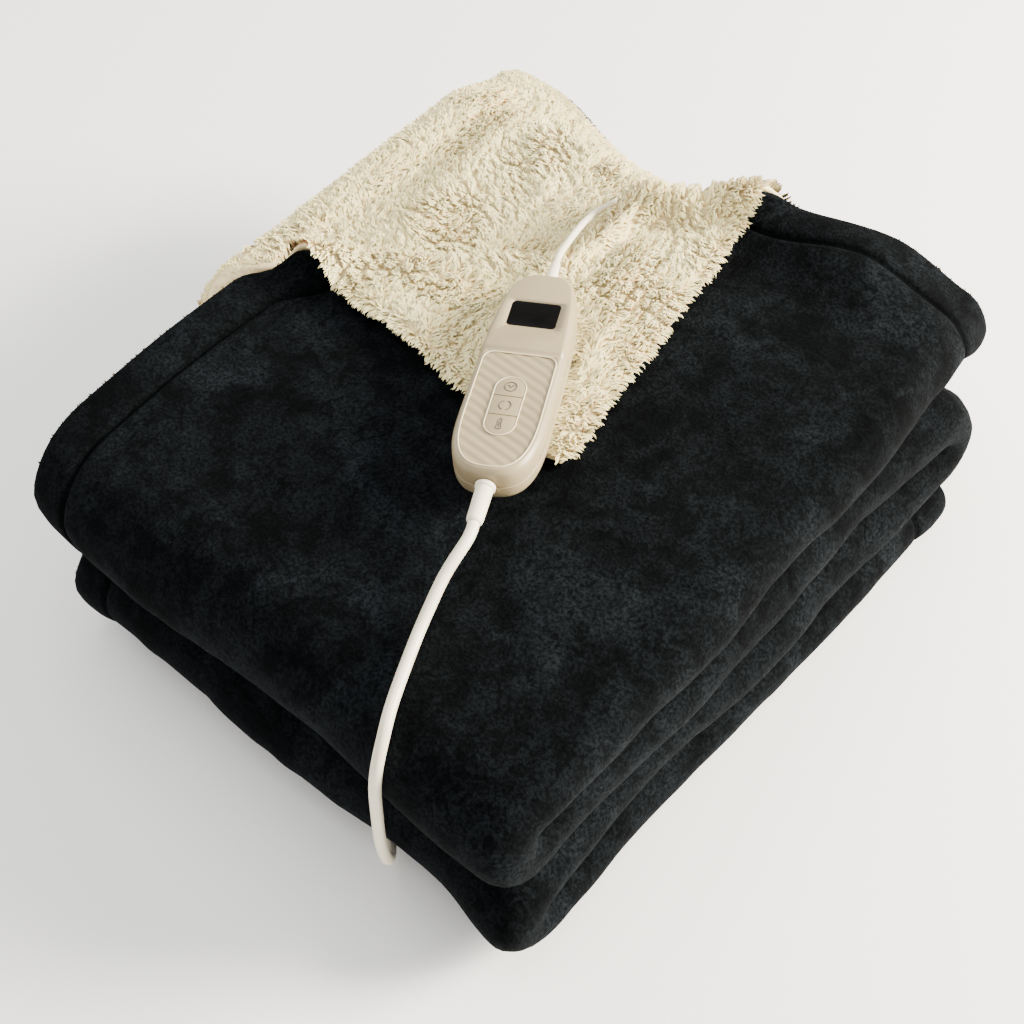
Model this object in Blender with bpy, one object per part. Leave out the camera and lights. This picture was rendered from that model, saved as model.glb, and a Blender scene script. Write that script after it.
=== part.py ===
"""Electric heated throw, folded, with its handset, mains lead, hank and plug.

The throw is two panels of cloth, a pile velvet face and a thick fleece back, lying 0.3 mm apart.
It is folded in quarters across its width into a band four layers thick, and that band is then laid
back and forth in four packets.  One corner of the top layer is turned back to show the fleece.
Metres, +Z up, with the origin on the floor under the middle of the folded throw.
"""
import math

import bmesh
import bpy
import numpy as np
from mathutils import Vector

MM = 0.001

# ---- cloth ----
VELVET_T = 2.5 * MM           # velvet panel's thickness
FLEECE_T = 4.0 * MM           # fleece panel's thickness
BOND_GAP = 0.3 * MM           # space between the two panels
LAYER_GAP = 1.0 * MM          # space between neighbouring layers of a packet
PACKET_GAP = 1.2 * MM         # space between neighbouring packets
VELVET_IN = BOND_GAP / 2
VELVET_OUT = VELVET_IN + VELVET_T
FLEECE_IN = BOND_GAP / 2
FLEECE_OUT = FLEECE_IN + FLEECE_T
FOLDED_X = 325 * MM           # folded width, hems to fold
FOLDED_Y = 382 * MM           # folded length, bulge to the top packet's open end
HEM = 26 * MM                 # width of the sewn hem
# the origin, in the cloth's own x from the hem side and y from the front
MIDDLE = (153.7 * MM, 193.3 * MM)

# heights of the four layers' middle planes in a packet, layer 4 lowest
LAYER_4 = VELVET_OUT
LAYER_3 = LAYER_4 + 2 * FLEECE_OUT + LAYER_GAP
LAYER_2 = LAYER_3 + 2 * VELVET_OUT + LAYER_GAP
LAYER_1 = LAYER_2 + 2 * FLEECE_OUT + LAYER_GAP
PACKET_T = LAYER_1 + VELVET_OUT
PITCH = PACKET_T + PACKET_GAP
STACK_H = 3 * PITCH + PACKET_T

# quarter fold across the width
OUTER_R = (LAYER_1 - LAYER_4) / 2
INNER_R = (LAYER_2 - LAYER_3) / 2
HEM_SIDE_R = (LAYER_3 - LAYER_4) / 2
FOLD_X = FOLDED_X - OUTER_R - VELVET_OUT
HEM_SIDE_X = HEM_SIDE_R + VELVET_OUT + 2 * MM

# back and forth fold along the length
BULGE_R = PACKET_T + PACKET_GAP / 2
BULGE_Y = BULGE_R
BACK_SHORT = 28 * MM          # how far the second and third packets stop short
END_SHORT = 48 * MM           # how far the lowest packet stops short
BACK_Y = FOLDED_Y - BACK_SHORT - BULGE_R
END_Y = FOLDED_Y - END_SHORT

# corner of the top layer, turned back along a diagonal crease
CREASE_START = (0.0, 166 * MM)
CREASE_END = (196 * MM, FOLDED_Y)
CREASE_TURN = 14 * MM         # flat cloth taken up by the turn
CREASE_R = 4.0 * MM
# place along the crease, and how much wider the roll of the turn is there
CREASE_PUFF = ((0.0, 7.0 * MM), (0.22, 0.5 * MM), (0.50, 0.5 * MM), (0.60, 1.0 * MM), (0.73, 6.0 * MM),
               (0.86, 3.0 * MM), (1.0, 2.5 * MM))
# place along the crease, and how far the ridge wanders there, towards the corner if above 0
CREASE_WANDER = ((0.0, -4 * MM), (0.12, -8 * MM), (0.37, -30 * MM), (0.54, -38 * MM), (0.71, -5 * MM),
                 (0.81, -9 * MM), (1.0, -13 * MM))
WANDER_REACH = 80 * MM
# grid lines beside and through the turn, as distances from its start towards the corner
CREASE_CUTS = [k * MM for k in (-45, -12, 0, 2.8, 5.6, 8.4, 11.2, 14, 28, 60)]
CREASE_STATIONS = (0.12, 0.25, 0.37, 0.46, 0.54, 0.62, 0.71, 0.81, 0.90)   # grid lines across the crease
STATION_REACH = 62 * MM
FLAP_SETTLE = 1.6 * MM        # how far the flap sinks once past the turn
# place along the crease, and how far past the turn the flap reaches its lower height
FLAP_FALL = ((0.0, 34 * MM), (0.25, 17 * MM))
FLAP_STRETCH = 1.25           # the soft cloth of the flap is drawn a little longer
FLAP_REACH = 190 * MM         # from the turn to the tip of the flap
FLAP_SWING = 24 * MM          # how far the tip has swung along the crease, towards its start
# place along the length, and how far the second layer's hem looks out past the first one's
PEEK = ((0.0, 0.0), (0.20, 0.0), (0.38, 22 * MM), (1.0, 23 * MM))
# place across the width, and how far the top packet's lower layers look out past its open end
OPEN_END = ((0.0, 9 * MM), (0.37, -26 * MM), (0.65, -26 * MM), (0.90, 0.0))
# the same for the top layer itself
TOP_END = ((0.30, 0.0), (0.58, -12 * MM), (0.80, 1 * MM), (1.0, 0.0))
END_REACH = 150 * MM          # how far in from the open end the cloth follows

FLAP_TOP = 3 * PITCH + LAYER_1 + 2 * CREASE_R - FLAP_SETTLE + FLEECE_OUT

# settling of the stack
TUNNEL_H = 9 * MM             # room over the mains lead under the front edge
TUNNEL_DEPTH = 35 * MM
TUNNEL_FADE = 60 * MM
OVERHANG_DROOP = 11 * MM
EDGE_DROOP = 3 * MM
# place along the length, and how far the hem side stands in from its straight line
HEM_SIDE_LENGTH = ((0.0, 16 * MM), (0.12, 7 * MM), (0.40, 3 * MM), (1.0, 0.0))
# height in the stack, and the same for the hem side of each packet
HEM_SIDE_HEIGHT = ((0.0, 10 * MM), (0.25, 4 * MM), (0.46, 6 * MM), (0.60, 16 * MM), (0.86, 0.0))
# height in the stack, and how far the rolled side swings out at its back end
ROLL_END = ((0.0, 3 * MM), (0.35, 5 * MM), (0.50, 5 * MM), (0.66, 1 * MM), (0.76, -10 * MM), (0.95, -16 * MM))
# place across the width, and how far the front of the lower packets stands back there
FRONT_LOW = ((0.0, -3 * MM), (0.15, -2 * MM), (0.35, 1 * MM), (0.60, 0.0), (0.80, 1 * MM), (0.96, -4 * MM))
# place along the length, and how far the rolled side of the lowest packet stands out
ROLL_LOW = ((0.0, 1 * MM), (0.22, -2 * MM), (0.50, 2 * MM), (0.80, 3 * MM), (1.0, 0.0))
# heights between which only the top layer is left
TOP_LAYER = ((3 * PITCH + LAYER_2 + FLEECE_OUT) / STACK_H, (3 * PITCH + LAYER_1 - FLEECE_OUT) / STACK_H)
OPEN_LIFT = 20 * MM           # how far the top layer's open end stands up between its fold and the crease
HEM_LIFT = 5 * MM             # the same along its hem side
SHOULDER_IN = 15 * MM         # how far the ridge's start stands in from the hem side
SIDE_REACH = 90 * MM          # how far in from the rolled side and the front their unevenness reaches
# height of a wave along a side, its length over 2 pi, and how it turns with the height in the stack
ROLL_WAVES = ((1.6 * MM, 31 * MM, 5.2), (0.9 * MM, 17 * MM, -8.0))
BULGE_WAVE = (2.5 * MM, 36 * MM, 4.0)
DROOP_REACH = 60 * MM
SWING_FROM = 230 * MM
LOW_PACKETS = (0.55, 0.30)    # heights above and below which a packet counts as an upper or a lower one
# places between which the lifts grow, stay and fade
OPEN_X = (120 * MM, 205 * MM, 220 * MM, 325 * MM)
OPEN_Y = (FOLDED_Y - 75 * MM, FOLDED_Y)
HEM_X = (48 * MM, 0.0)
HEM_Y = (20 * MM, 110 * MM, 150 * MM, 210 * MM)
SHOULDER_X = (85 * MM, 10 * MM)
SHOULDER_Y = (150 * MM, 178 * MM, 195 * MM, 240 * MM)

# ---- handset: u along it from the mains end, v across, w up from its underside ----
SEAT = 0.3 * MM               # space between touching pieces
HANDSET_AT = (24.6 * MM, -15.2 * MM)
HANDSET_Z = FLAP_TOP + SEAT
HANDSET_TURN = 118.5          # degrees about Z from +X to its length
HANDSET_L = 130 * MM
HANDSET_W = 42 * MM
HANDSET_WIDEST = 36 * MM      # place of the widest section
LOW_END_POWER = 2.85          # bluntness of its mains end
UP_END_POWER = 3.7
UP_END_TAPER = 0.03           # share of the width lost towards the lead end
BASE_ROWS = ((0.0, 2.4 * MM), (1.2 * MM, 0.8 * MM), (3.5 * MM, 0.1 * MM), (8.5 * MM, 0.0))   # w, drawn in by
COVER_ROWS = ((8.8 * MM, 0.0), (14 * MM, 0.1 * MM), (17.5 * MM, 0.6 * MM), (19.2 * MM, 1.4 * MM),
              (20 * MM, 2.4 * MM))
NOSE_CUTS = (112 * MM, 119 * MM, 125 * MM)
NOSE_FALL = 3.5 * MM          # how far the top slopes down at the lead end
PANEL_INSET = 3.4 * MM
PANEL_END = 72 * MM
PANEL_FLOOR = 18.2 * MM
PANEL_TOP = 19.3 * MM
PANEL_CORNER = 5 * MM
WINDOW_U = 97.4 * MM
WINDOW_SIZE = (16.4 * MM, 23.4 * MM)
WINDOW_CORNER = 2 * MM
WINDOW_FLOOR = 18.7 * MM
WINDOW_TOP = 19.9 * MM
KEYS_U = 39.3 * MM            # middle of the three keys
KEYS_SIZE = (34.6 * MM, 13.6 * MM)
KEY_GAP = 0.4 * MM
KEY_LOW = 17.4 * MM
KEY_TOP = 19.9 * MM
KEY_WELL = 16.4 * MM
RELIEF_W = 10 * MM            # height of both cord axes over the underside
# distance out from the handset, and radius, of the two strain reliefs
MAINS_RELIEF = ((0.0, 5.0 * MM), (2.5 * MM, 4.8 * MM), (17 * MM, 4.3 * MM), (19.5 * MM, 4.2 * MM),
                (20.5 * MM, 3.6 * MM))
LEAD_RELIEF = ((0.0, 3.6 * MM), (6 * MM, 3.2 * MM), (12 * MM, 2.8 * MM), (13 * MM, 2.4 * MM))

# ---- cords ----
MAINS_D = 5.5 * MM
LEAD_D = 3.6 * MM
STRAIGHT_OUT = 6 * MM         # straight run out of a strain relief
SLEEVE_GAP = 0.9 * MM         # from a relief's own start to its seat, and on from its tip to the cord
# the mains lead down the front, under the front edge and round to the hank behind the hem side
MAINS_ROUTE = [(x * MM, y * MM, z * MM) for x, y, z in (
    (70.6, -104.2, 141.6), (72.1, -116, 138), (75.2, -129, 133.2), (79.3, -141.6, 129.7),
    (84.6, -154, 128.1), (90.2, -165.8, 127.3), (95.6, -176.6, 126), (100, -185.4, 122.2),
    (102.5, -192.8, 114), (103.2, -197.3, 102), (103, -199.4, 87), (102.1, -200.6, 70), (101, -201, 54),
    (99.2, -199.6, 38), (94.2, -195, 22), (84.2, -186.4, 9.4), (70.8, -177.5, 4.2), (53.8, -172.6, 3.1),
    (18.8, -171.6, 3), (-31.2, -171.3, 3), (-81.2, -171.3, 3), (-115.2, -171.1, 3), (-133.2, -167.7, 3),
    (-145.4, -158, 3), (-150.6, -143.3, 3), (-151.5, -120.3, 3))]
# the thin lead over the ridge of the turned corner and down behind it
LEAD_ROUTE = [(x * MM, y * MM, z * MM) for x, y, z in (
    (-17.4, 63, 141.6), (-21.8, 74.5, 139), (-25.8, 88, 137), (-29.2, 103, 133), (-32.2, 119.2, 126.5),
    (-33.8, 134.7, 121.2), (-34.4, 148.7, 118.4))]

# the put-away length of the mains lead: turns lying side by side and on each other
HANK_AT = (-176.3 * MM, -12.3 * MM)
HANK_RUN = 120 * MM           # straight part of its turns
HANK_BEND = 19.2 * MM         # middle radius of its inner turn
TURN_PITCH = 5.6 * MM
HANK_HALF = HANK_BEND + TURN_PITCH + MAINS_D / 2 + 0.1 * MM
HANK_H = TURN_PITCH + MAINS_D + 0.2 * MM
WAIST_IN = 15.8 * MM          # how far the tie draws each side in
WAIST_REACH = 52 * MM
TIE_T = 1.2 * MM
TIE_W = 9 * MM
# the short tail from the hank to the plug
TAIL_ROUTE = [(x * MM, y * MM, z * MM) for x, y, z in (
    (-151.5, 64.4, 8.6), (-152.6, 77.7, 8.4), (-156.7, 89.7, 8), (-160.6, 101.7, 7.5),
    (-162.2, 113.7, 7.3))]
PLUG_Y = 114 * MM
PLUG_X = -162.2 * MM
PLUG_Z = 7.3 * MM
# distance along the plug's body, half width and half height
PLUG_ROWS = ((0.0, 3.9 * MM, 3.9 * MM), (7 * MM, 4.6 * MM, 4.6 * MM), (14 * MM, 8.6 * MM, 5.6 * MM),
             (21 * MM, 12.6 * MM, 6.8 * MM), (33 * MM, 12.8 * MM, 6.9 * MM), (35.5 * MM, 12.0 * MM, 6.2 * MM))
PIN_SPREAD = 9.3 * MM
PIN_D = 4 * MM
PIN_L = 19 * MM


def smooth(a, b, x):
    """0 before a, 1 after b, and a soft step between."""
    k = np.clip((x - a) / (b - a), 0.0, 1.0)
    return k * k * (3 - 2 * k)


def read_table(table, x):
    """Soft steps between the rows of a two-column table."""
    x = np.asarray(x, dtype=float)
    out = np.full(x.shape, table[0][1], dtype=float)
    for (x0, y0), (x1, y1) in zip(table, table[1:]):
        out = out + (y1 - y0) * smooth(x0, x1, x)
    return out


# ---- the flat cloth: s runs across the width from the top layer's hem, t along the length ----
RUN_1 = FOLD_X
RUN_4 = FOLD_X - HEM_SIDE_X
RUN_2 = FOLD_X + 10 * MM
S_OUTER = RUN_1
S_4 = S_OUTER + math.pi * OUTER_R
S_SIDE = S_4 + RUN_4
S_3 = S_SIDE + math.pi * HEM_SIDE_R
S_INNER = S_3 + RUN_4
S_2 = S_INNER + math.pi * INNER_R
S_END = S_2 + RUN_2

TURN_T = math.pi * PACKET_T / 2
T_BULGE_1 = FOLDED_Y - BULGE_Y
T_2 = T_BULGE_1 + TURN_T
T_BACK = T_2 + BACK_Y - BULGE_Y
T_3 = T_BACK + TURN_T
T_BULGE_2 = T_3 + BACK_Y - BULGE_Y
T_4 = T_BULGE_2 + TURN_T
T_END = T_4 + END_Y - BULGE_Y


def band_section(s, n, t):
    """Across the width: place x and height m in the packet of the cloth at s, n outwards from its middle."""
    s, n, t = np.broadcast_arrays(s, n, t)
    peek = read_table(PEEK, 1 - t / T_BULGE_1) * (t < T_BULGE_1)
    stretch = (FOLD_X + np.where(t < T_BULGE_1, peek, 0.0)) / RUN_2
    out_angle = np.clip((s - S_OUTER) / OUTER_R, 0, math.pi)
    side_angle = np.clip((s - S_SIDE) / HEM_SIDE_R, 0, math.pi)
    in_angle = np.clip((s - S_INNER) / INNER_R, 0, math.pi)
    outer_m = (LAYER_1 + LAYER_4) / 2
    side_m = (LAYER_3 + LAYER_4) / 2
    inner_m = (LAYER_2 + LAYER_3) / 2
    x = np.select(
        [s < S_OUTER, s < S_4, s < S_SIDE, s < S_3, s < S_INNER, s < S_2],
        [s,
         FOLD_X + (OUTER_R + n) * np.sin(out_angle),
         FOLD_X - (s - S_4),
         HEM_SIDE_X - (HEM_SIDE_R + n) * np.sin(side_angle),
         HEM_SIDE_X + (s - S_3),
         FOLD_X + (INNER_R - n) * np.sin(in_angle)],
        FOLD_X - (s - S_2) * stretch)
    m = np.select(
        [s < S_OUTER, s < S_4, s < S_SIDE, s < S_3, s < S_INNER, s < S_2],
        [LAYER_1 + n,
         outer_m + (OUTER_R + n) * np.cos(out_angle),
         LAYER_4 - n,
         side_m - (HEM_SIDE_R + n) * np.cos(side_angle),
         LAYER_3 + n,
         inner_m - (INNER_R - n) * np.cos(in_angle)],
        LAYER_2 - n)
    return x, m


def band_path(m, t):
    """Along the length: place y and height z of the band at t, m above its first packet's underside."""
    m, t = np.broadcast_arrays(m, t)
    angle_1 = np.clip((t - T_BULGE_1) / TURN_T, 0, 1) * math.pi
    angle_b = np.clip((t - T_BACK) / TURN_T, 0, 1) * math.pi
    angle_2 = np.clip((t - T_BULGE_2) / TURN_T, 0, 1) * math.pi
    r_out = m + PACKET_GAP / 2
    r_back = PACKET_T - m + PACKET_GAP / 2
    z_1 = 3 * PITCH - PACKET_GAP / 2
    z_b = 2 * PITCH - PACKET_GAP / 2
    z_2 = PITCH - PACKET_GAP / 2
    y = np.select(
        [t < T_BULGE_1, t < T_2, t < T_BACK, t < T_3, t < T_BULGE_2, t < T_4],
        [FOLDED_Y - t,
         BULGE_Y - r_out * np.sin(angle_1),
         BULGE_Y + (t - T_2),
         BACK_Y + r_back * np.sin(angle_b),
         BACK_Y - (t - T_3),
         BULGE_Y - r_out * np.sin(angle_2)],
        BULGE_Y + (t - T_4))
    z = np.select(
        [t < T_BULGE_1, t < T_2, t < T_BACK, t < T_3, t < T_BULGE_2, t < T_4],
        [3 * PITCH + m,
         z_1 + r_out * np.cos(angle_1),
         2 * PITCH + PACKET_T - m,
         z_b + r_back * np.cos(angle_b),
         PITCH + m,
         z_2 + r_out * np.cos(angle_2)],
        PACKET_T - m)
    return y, z


# ---- the turned-back corner ----
CREASE_LEN = math.dist(CREASE_START, CREASE_END)
ALONG_X = (CREASE_END[0] - CREASE_START[0]) / CREASE_LEN
ALONG_Y = (CREASE_END[1] - CREASE_START[1]) / CREASE_LEN


def turn_corner(x, y, n):
    """Bend the top layer about the crease: its new x and y, and its height over the layer's middle plane."""
    from_x = x - CREASE_START[0]
    from_y = y - CREASE_START[1]
    beyond = from_y * ALONG_X - from_x * ALONG_Y
    along = (from_x * ALONG_X + from_y * ALONG_Y) / CREASE_LEN
    radius = CREASE_R + read_table(CREASE_PUFF, along)
    angle = np.clip(beyond / CREASE_TURN, 0, 1) * math.pi
    past = np.clip(beyond - CREASE_TURN, 0, None) * FLAP_STRETCH
    low = 2 * CREASE_R - FLAP_SETTLE
    fall = smooth(0, read_table(FLAP_FALL, along), past)
    flat = np.where(beyond < 0, beyond, (radius - n) * np.sin(angle) - past)
    rise = radius - (radius - n) * np.cos(angle)
    rise = np.where(past > 0, 2 * radius + (low - 2 * radius) * fall - n, rise)
    wander = read_table(CREASE_WANDER, along) * (1 - smooth(0, WANDER_REACH, np.abs(flat)))
    across = flat + wander
    shift = along * CREASE_LEN - FLAP_SWING * past / FLAP_REACH
    new_x = CREASE_START[0] + shift * ALONG_X - across * ALONG_Y
    new_y = CREASE_START[1] + shift * ALONG_Y + across * ALONG_X
    return new_x, new_y, rise


def hill(places, x):
    """0 before the first of four places, 1 between the middle two and 0 past the last, with soft steps."""
    return smooth(places[0], places[1], x) * smooth(places[3], places[2], x)


def settle(x, y, z):
    """Uneven rolls, drooping edges and the room over the mains lead; the underside stays flat."""
    height = z / STACK_H
    off_floor = smooth(0, 0.2, height)
    right = smooth(FOLDED_X - SIDE_REACH, FOLDED_X, x)
    front = smooth(SIDE_REACH, 0, y)
    roll = sum(high * np.sin(y / long + turn * height) for high, long, turn in ROLL_WAVES)
    bulge = BULGE_WAVE[0] * np.sin(x / BULGE_WAVE[1] + BULGE_WAVE[2] * height)
    edge = smooth(FOLDED_X - DROOP_REACH, FOLDED_X, x) + smooth(DROOP_REACH, 0, y)
    over = smooth(BACK_Y + BULGE_R / 2, FOLDED_Y, y)
    tunnel = smooth(TUNNEL_FADE, TUNNEL_DEPTH, y) * np.clip(1 - z / TUNNEL_FADE, 0, 1) ** 2
    top = smooth(*TOP_LAYER, height)
    open_end = smooth(*OPEN_Y, y) * hill(OPEN_X, x)
    hem_side = smooth(*HEM_X, x) * hill(HEM_Y, y)
    shoulder = smooth(*SHOULDER_X, x) * hill(SHOULDER_Y, y)
    low = smooth(*LOW_PACKETS, height)
    inset = read_table(HEM_SIDE_LENGTH, y / FOLDED_Y) + read_table(HEM_SIDE_HEIGHT, height)
    swing = read_table(ROLL_END, height) * smooth(SWING_FROM, FOLDED_Y, y)
    swing = swing + read_table(ROLL_LOW, y / FOLDED_Y) * low
    new_x = x + right * (roll * off_floor + swing) + (1 - x / FOLDED_X) * inset + top * SHOULDER_IN * shoulder
    new_y = y + front * (bulge * off_floor + read_table(FRONT_LOW, x / FOLDED_X) * low)
    new_z = z - EDGE_DROOP * edge * height ** 3 - OVERHANG_DROOP * over + TUNNEL_H * tunnel
    return new_x, new_y, new_z + top * (OPEN_LIFT * open_end + HEM_LIFT * hem_side)


def place(s, t, n):
    """Folded place of the cloth at (s, t), n outwards from the cloth's middle plane."""
    x, m = band_section(s, n, t)
    y, z = band_path(m, t)
    flap_x, flap_y, up = turn_corner(s, FOLDED_Y - t, n)
    top = (s < S_OUTER) & (t < T_BULGE_1)
    x = np.where(top, flap_x, x)
    near_end = smooth(END_REACH, 0, t)
    y = y + read_table(OPEN_END, x / FOLDED_X) * near_end
    y = np.where(top, flap_y + read_table(TOP_END, s / FOLDED_X) * near_end, y)
    z = np.where(top, 3 * PITCH + LAYER_1 + up, z)
    x, y, z = settle(x, y, z)
    return x - MIDDLE[0], y - MIDDLE[1], z


def near_crease(st):
    """True where the flat cloth's point lies beside the crease of the turned corner."""
    beyond = (FOLDED_Y - st.y - CREASE_START[1]) * ALONG_X - (st.x - CREASE_START[0]) * ALONG_Y
    return abs(beyond) < STATION_REACH and st.y < T_BULGE_1 and st.x < S_OUTER


def flat_grid():
    """Triangles of the flat cloth, cut along the crease; each vertex holds its s and t."""
    x_lines = [HEM + (FOLD_X - HEM) * i / 5 for i in range(5)]
    y_lines = [BULGE_Y + (BACK_Y - BULGE_Y) * i / 5 for i in range(6)]
    s_lines = [0.0] + x_lines
    s_lines += [S_OUTER + (S_4 - S_OUTER) * i / 6 for i in range(7)]
    s_lines += [S_4 + FOLD_X - x for x in reversed(x_lines[1:])]
    s_lines += [S_SIDE + (S_3 - S_SIDE) * i / 3 for i in range(4)]
    s_lines += [S_3 + x - HEM_SIDE_X for x in x_lines[1:]]
    s_lines += [S_INNER + (S_2 - S_INNER) * i / 4 for i in range(5)]
    s_lines += [S_2 + FOLD_X - x for x in reversed(x_lines)]
    s_lines += [S_END]
    t_lines = [0.0, HEM]
    t_lines += [FOLDED_Y - y for y in reversed(y_lines[1:])]
    t_lines += [T_BULGE_1 + TURN_T * i / 6 for i in range(7)]
    t_lines += [T_2 + y - BULGE_Y for y in y_lines[1:-1]]
    t_lines += [T_BACK + TURN_T * i / 4 for i in range(5)]
    t_lines += [T_3 + BACK_Y - y for y in reversed(y_lines[1:-1])]
    t_lines += [T_BULGE_2 + TURN_T * i / 6 for i in range(7)]
    t_lines += [T_4 + y - BULGE_Y for y in y_lines[1:-1]]
    t_lines += [T_END - HEM, T_END]
    bm = bmesh.new()
    rows = [[bm.verts.new((s, t, 0)) for t in t_lines] for s in s_lines]
    for low, high in zip(rows, rows[1:]):
        for j in range(len(t_lines) - 1):
            bm.faces.new((low[j], high[j], high[j + 1], low[j + 1]))
    for cut in CREASE_CUTS:
        co = Vector((CREASE_START[0] - cut * ALONG_Y, FOLDED_Y - CREASE_START[1] - cut * ALONG_X, 0))
        normal = Vector((ALONG_Y, ALONG_X, 0))
        bmesh.ops.bisect_plane(bm, geom=bm.verts[:] + bm.edges[:] + bm.faces[:], dist=1e-6,
                               plane_co=co, plane_no=normal)
    for station in CREASE_STATIONS:
        co = Vector((CREASE_START[0] + station * CREASE_LEN * ALONG_X,
                     FOLDED_Y - CREASE_START[1] - station * CREASE_LEN * ALONG_Y, 0))
        faces = [f for f in bm.faces if near_crease(f.calc_center_median())]
        edges = {e for f in faces for e in f.edges}
        verts = {v for f in faces for v in f.verts}
        bmesh.ops.bisect_plane(bm, geom=list(verts) + list(edges) + faces, dist=1e-6,
                               plane_co=co, plane_no=Vector((ALONG_X, -ALONG_Y, 0)))
    bmesh.ops.triangulate(bm, faces=bm.faces[:])
    return bm


def make_material(name, color, roughness, metallic=0.0):
    material = bpy.data.materials.new(name)
    material.use_nodes = True
    shader = material.node_tree.nodes["Principled BSDF"]
    shader.inputs["Base Color"].default_value = (*color, 1)
    shader.inputs["Roughness"].default_value = roughness
    shader.inputs["Metallic"].default_value = metallic
    return material


def add_mesh(name, bm, material, smooth_angle=None):
    bmesh.ops.recalc_face_normals(bm, faces=bm.faces[:])
    mesh = bpy.data.meshes.new(name)
    bm.to_mesh(mesh)
    bm.free()
    mesh.materials.append(material)
    if smooth_angle:
        mesh.shade_smooth()
        mesh.set_sharp_from_angle(angle=math.radians(smooth_angle))
    piece = bpy.data.objects.new(name, mesh)
    bpy.context.scene.collection.objects.link(piece)
    return piece


def make_panel(name, n_face, n_inside, material):
    """One panel of cloth as a closed solid between two offsets from the cloth's middle plane."""
    flat = flat_grid()
    flat.verts.ensure_lookup_table()
    st = np.array([v.co[:2] for v in flat.verts])
    bm = bmesh.new()
    sides = []
    for n in (n_face, n_inside):
        x, y, z = place(st[:, 0], st[:, 1], n)
        sides.append([bm.verts.new(p) for p in zip(x, y, z)])
    for face in flat.faces:
        corners = [v.index for v in face.verts]
        bm.faces.new([sides[0][i] for i in corners])
        bm.faces.new([sides[1][i] for i in reversed(corners)])
    for edge in flat.edges:
        if edge.is_boundary:
            a, b = (v.index for v in edge.verts)
            bm.faces.new((sides[0][a], sides[0][b], sides[1][b], sides[1][a]))
    flat.free()
    bmesh.ops.triangulate(bm, faces=bm.faces[:])
    return add_mesh(name, bm, material)


def make_cloth():
    velvet = make_material("velvet_black", (0.006, 0.008, 0.010), 0.85)
    fleece = make_material("fleece_cream", (0.86, 0.79, 0.62), 0.95)
    make_panel("velvet_face", VELVET_OUT, VELVET_IN, velvet)
    make_panel("fleece_back", -FLEECE_OUT, -FLEECE_IN, fleece)


# ---- handset ----
def handset_outline(inset):
    """Points round the handset, drawn in by inset, as (u, v) from its middle."""
    points = []
    for k in range(40):
        a = 2 * math.pi * k / 40
        up = math.cos(a) > 0
        power = 2 / (UP_END_POWER if up else LOW_END_POWER)
        reach = (HANDSET_L - HANDSET_WIDEST if up else HANDSET_WIDEST) - inset
        u = math.copysign(abs(math.cos(a)) ** power * reach, math.cos(a))
        v = math.copysign(abs(math.sin(a)) ** power * (HANDSET_W / 2 - inset), math.sin(a))
        v *= 1 - UP_END_TAPER * max(u, 0) / reach
        points.append((u + HANDSET_WIDEST - HANDSET_L / 2, v))
    return points


def stadium_outline(length, width):
    """Points round a slot with full round ends, as (u, v) from its middle."""
    r = width / 2
    points = []
    for k in range(18):
        a = math.pi * (k % 9) / 8 - math.pi / 2 + math.pi * (k // 9)
        shift = (length / 2 - r) * (1 if k < 9 else -1)
        points.append((shift + r * math.cos(a), r * math.sin(a)))
    return points


def box_outline(length, width, corner):
    """Points round a rectangle with round corners, as (u, v) from its middle."""
    points = []
    for k in range(16):
        a = math.pi / 2 * (k // 4) + math.pi / 6 * (k % 4)
        sign_u = 1 if k // 4 in (0, 3) else -1
        sign_v = 1 if k // 4 in (0, 1) else -1
        points.append((sign_u * (length / 2 - corner) + corner * math.cos(a),
                       sign_v * (width / 2 - corner) + corner * math.sin(a)))
    return points


def stack_rings(rings):
    """A closed solid through rings of equal length, its two ends capped."""
    bm = bmesh.new()
    rows = [[bm.verts.new(p) for p in ring] for ring in rings]
    for low, high in zip(rows, rows[1:]):
        for j in range(len(low)):
            k = (j + 1) % len(low)
            bm.faces.new((low[j], low[k], high[k], high[j]))
    bm.faces.new(rows[0][::-1])
    bm.faces.new(rows[-1])
    return bm


def plate(outline, low, high):
    """A flat solid of one outline between two heights."""
    return stack_rings([[(u, v, w) for u, v in outline] for w in (low, high)])


def clip(bm, u, side):
    """Cut a solid off square at u, keeping the side below it (1) or above it (-1)."""
    geom = bm.verts[:] + bm.edges[:] + bm.faces[:]
    cut = bmesh.ops.bisect_plane(bm, geom=geom, dist=1e-7, plane_co=(u, 0, 0), plane_no=(side, 0, 0),
                                 clear_outer=True)
    bmesh.ops.holes_fill(bm, edges=[e for e in cut["geom_cut"] if isinstance(e, bmesh.types.BMEdge)])
    return bm


def panel_solid(gap, low, high):
    """The grip panel's shape, drawn in by gap, with its upper corners rounded."""
    bm = plate(handset_outline(PANEL_INSET + gap), low, high)
    end = PANEL_END - gap - HANDSET_L / 2
    clip(bm, end, 1)
    corners = [e for e in bm.edges if all(abs(v.co.x - end) < 1e-6 for v in e.verts)
               and abs(e.verts[0].co.y - e.verts[1].co.y) < 1e-6]
    bmesh.ops.bevel(bm, geom=corners, offset=PANEL_CORNER - gap, segments=4, profile=0.5, affect="EDGES")
    return bm


def in_handset(piece, place, u=HANDSET_L / 2, w=0.0):
    """Put a piece in the handset, its own origin at u along it and w over its underside."""
    piece.parent = place
    piece.location = (u - HANDSET_L / 2, 0, w)
    return piece


def cut_away(piece, cutter):
    cutter.hide_render = True
    cutter.display_type = "WIRE"
    boolean = piece.modifiers.new(cutter.name, "BOOLEAN")
    boolean.operation = "DIFFERENCE"
    boolean.solver = "EXACT"
    boolean.object = cutter


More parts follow.
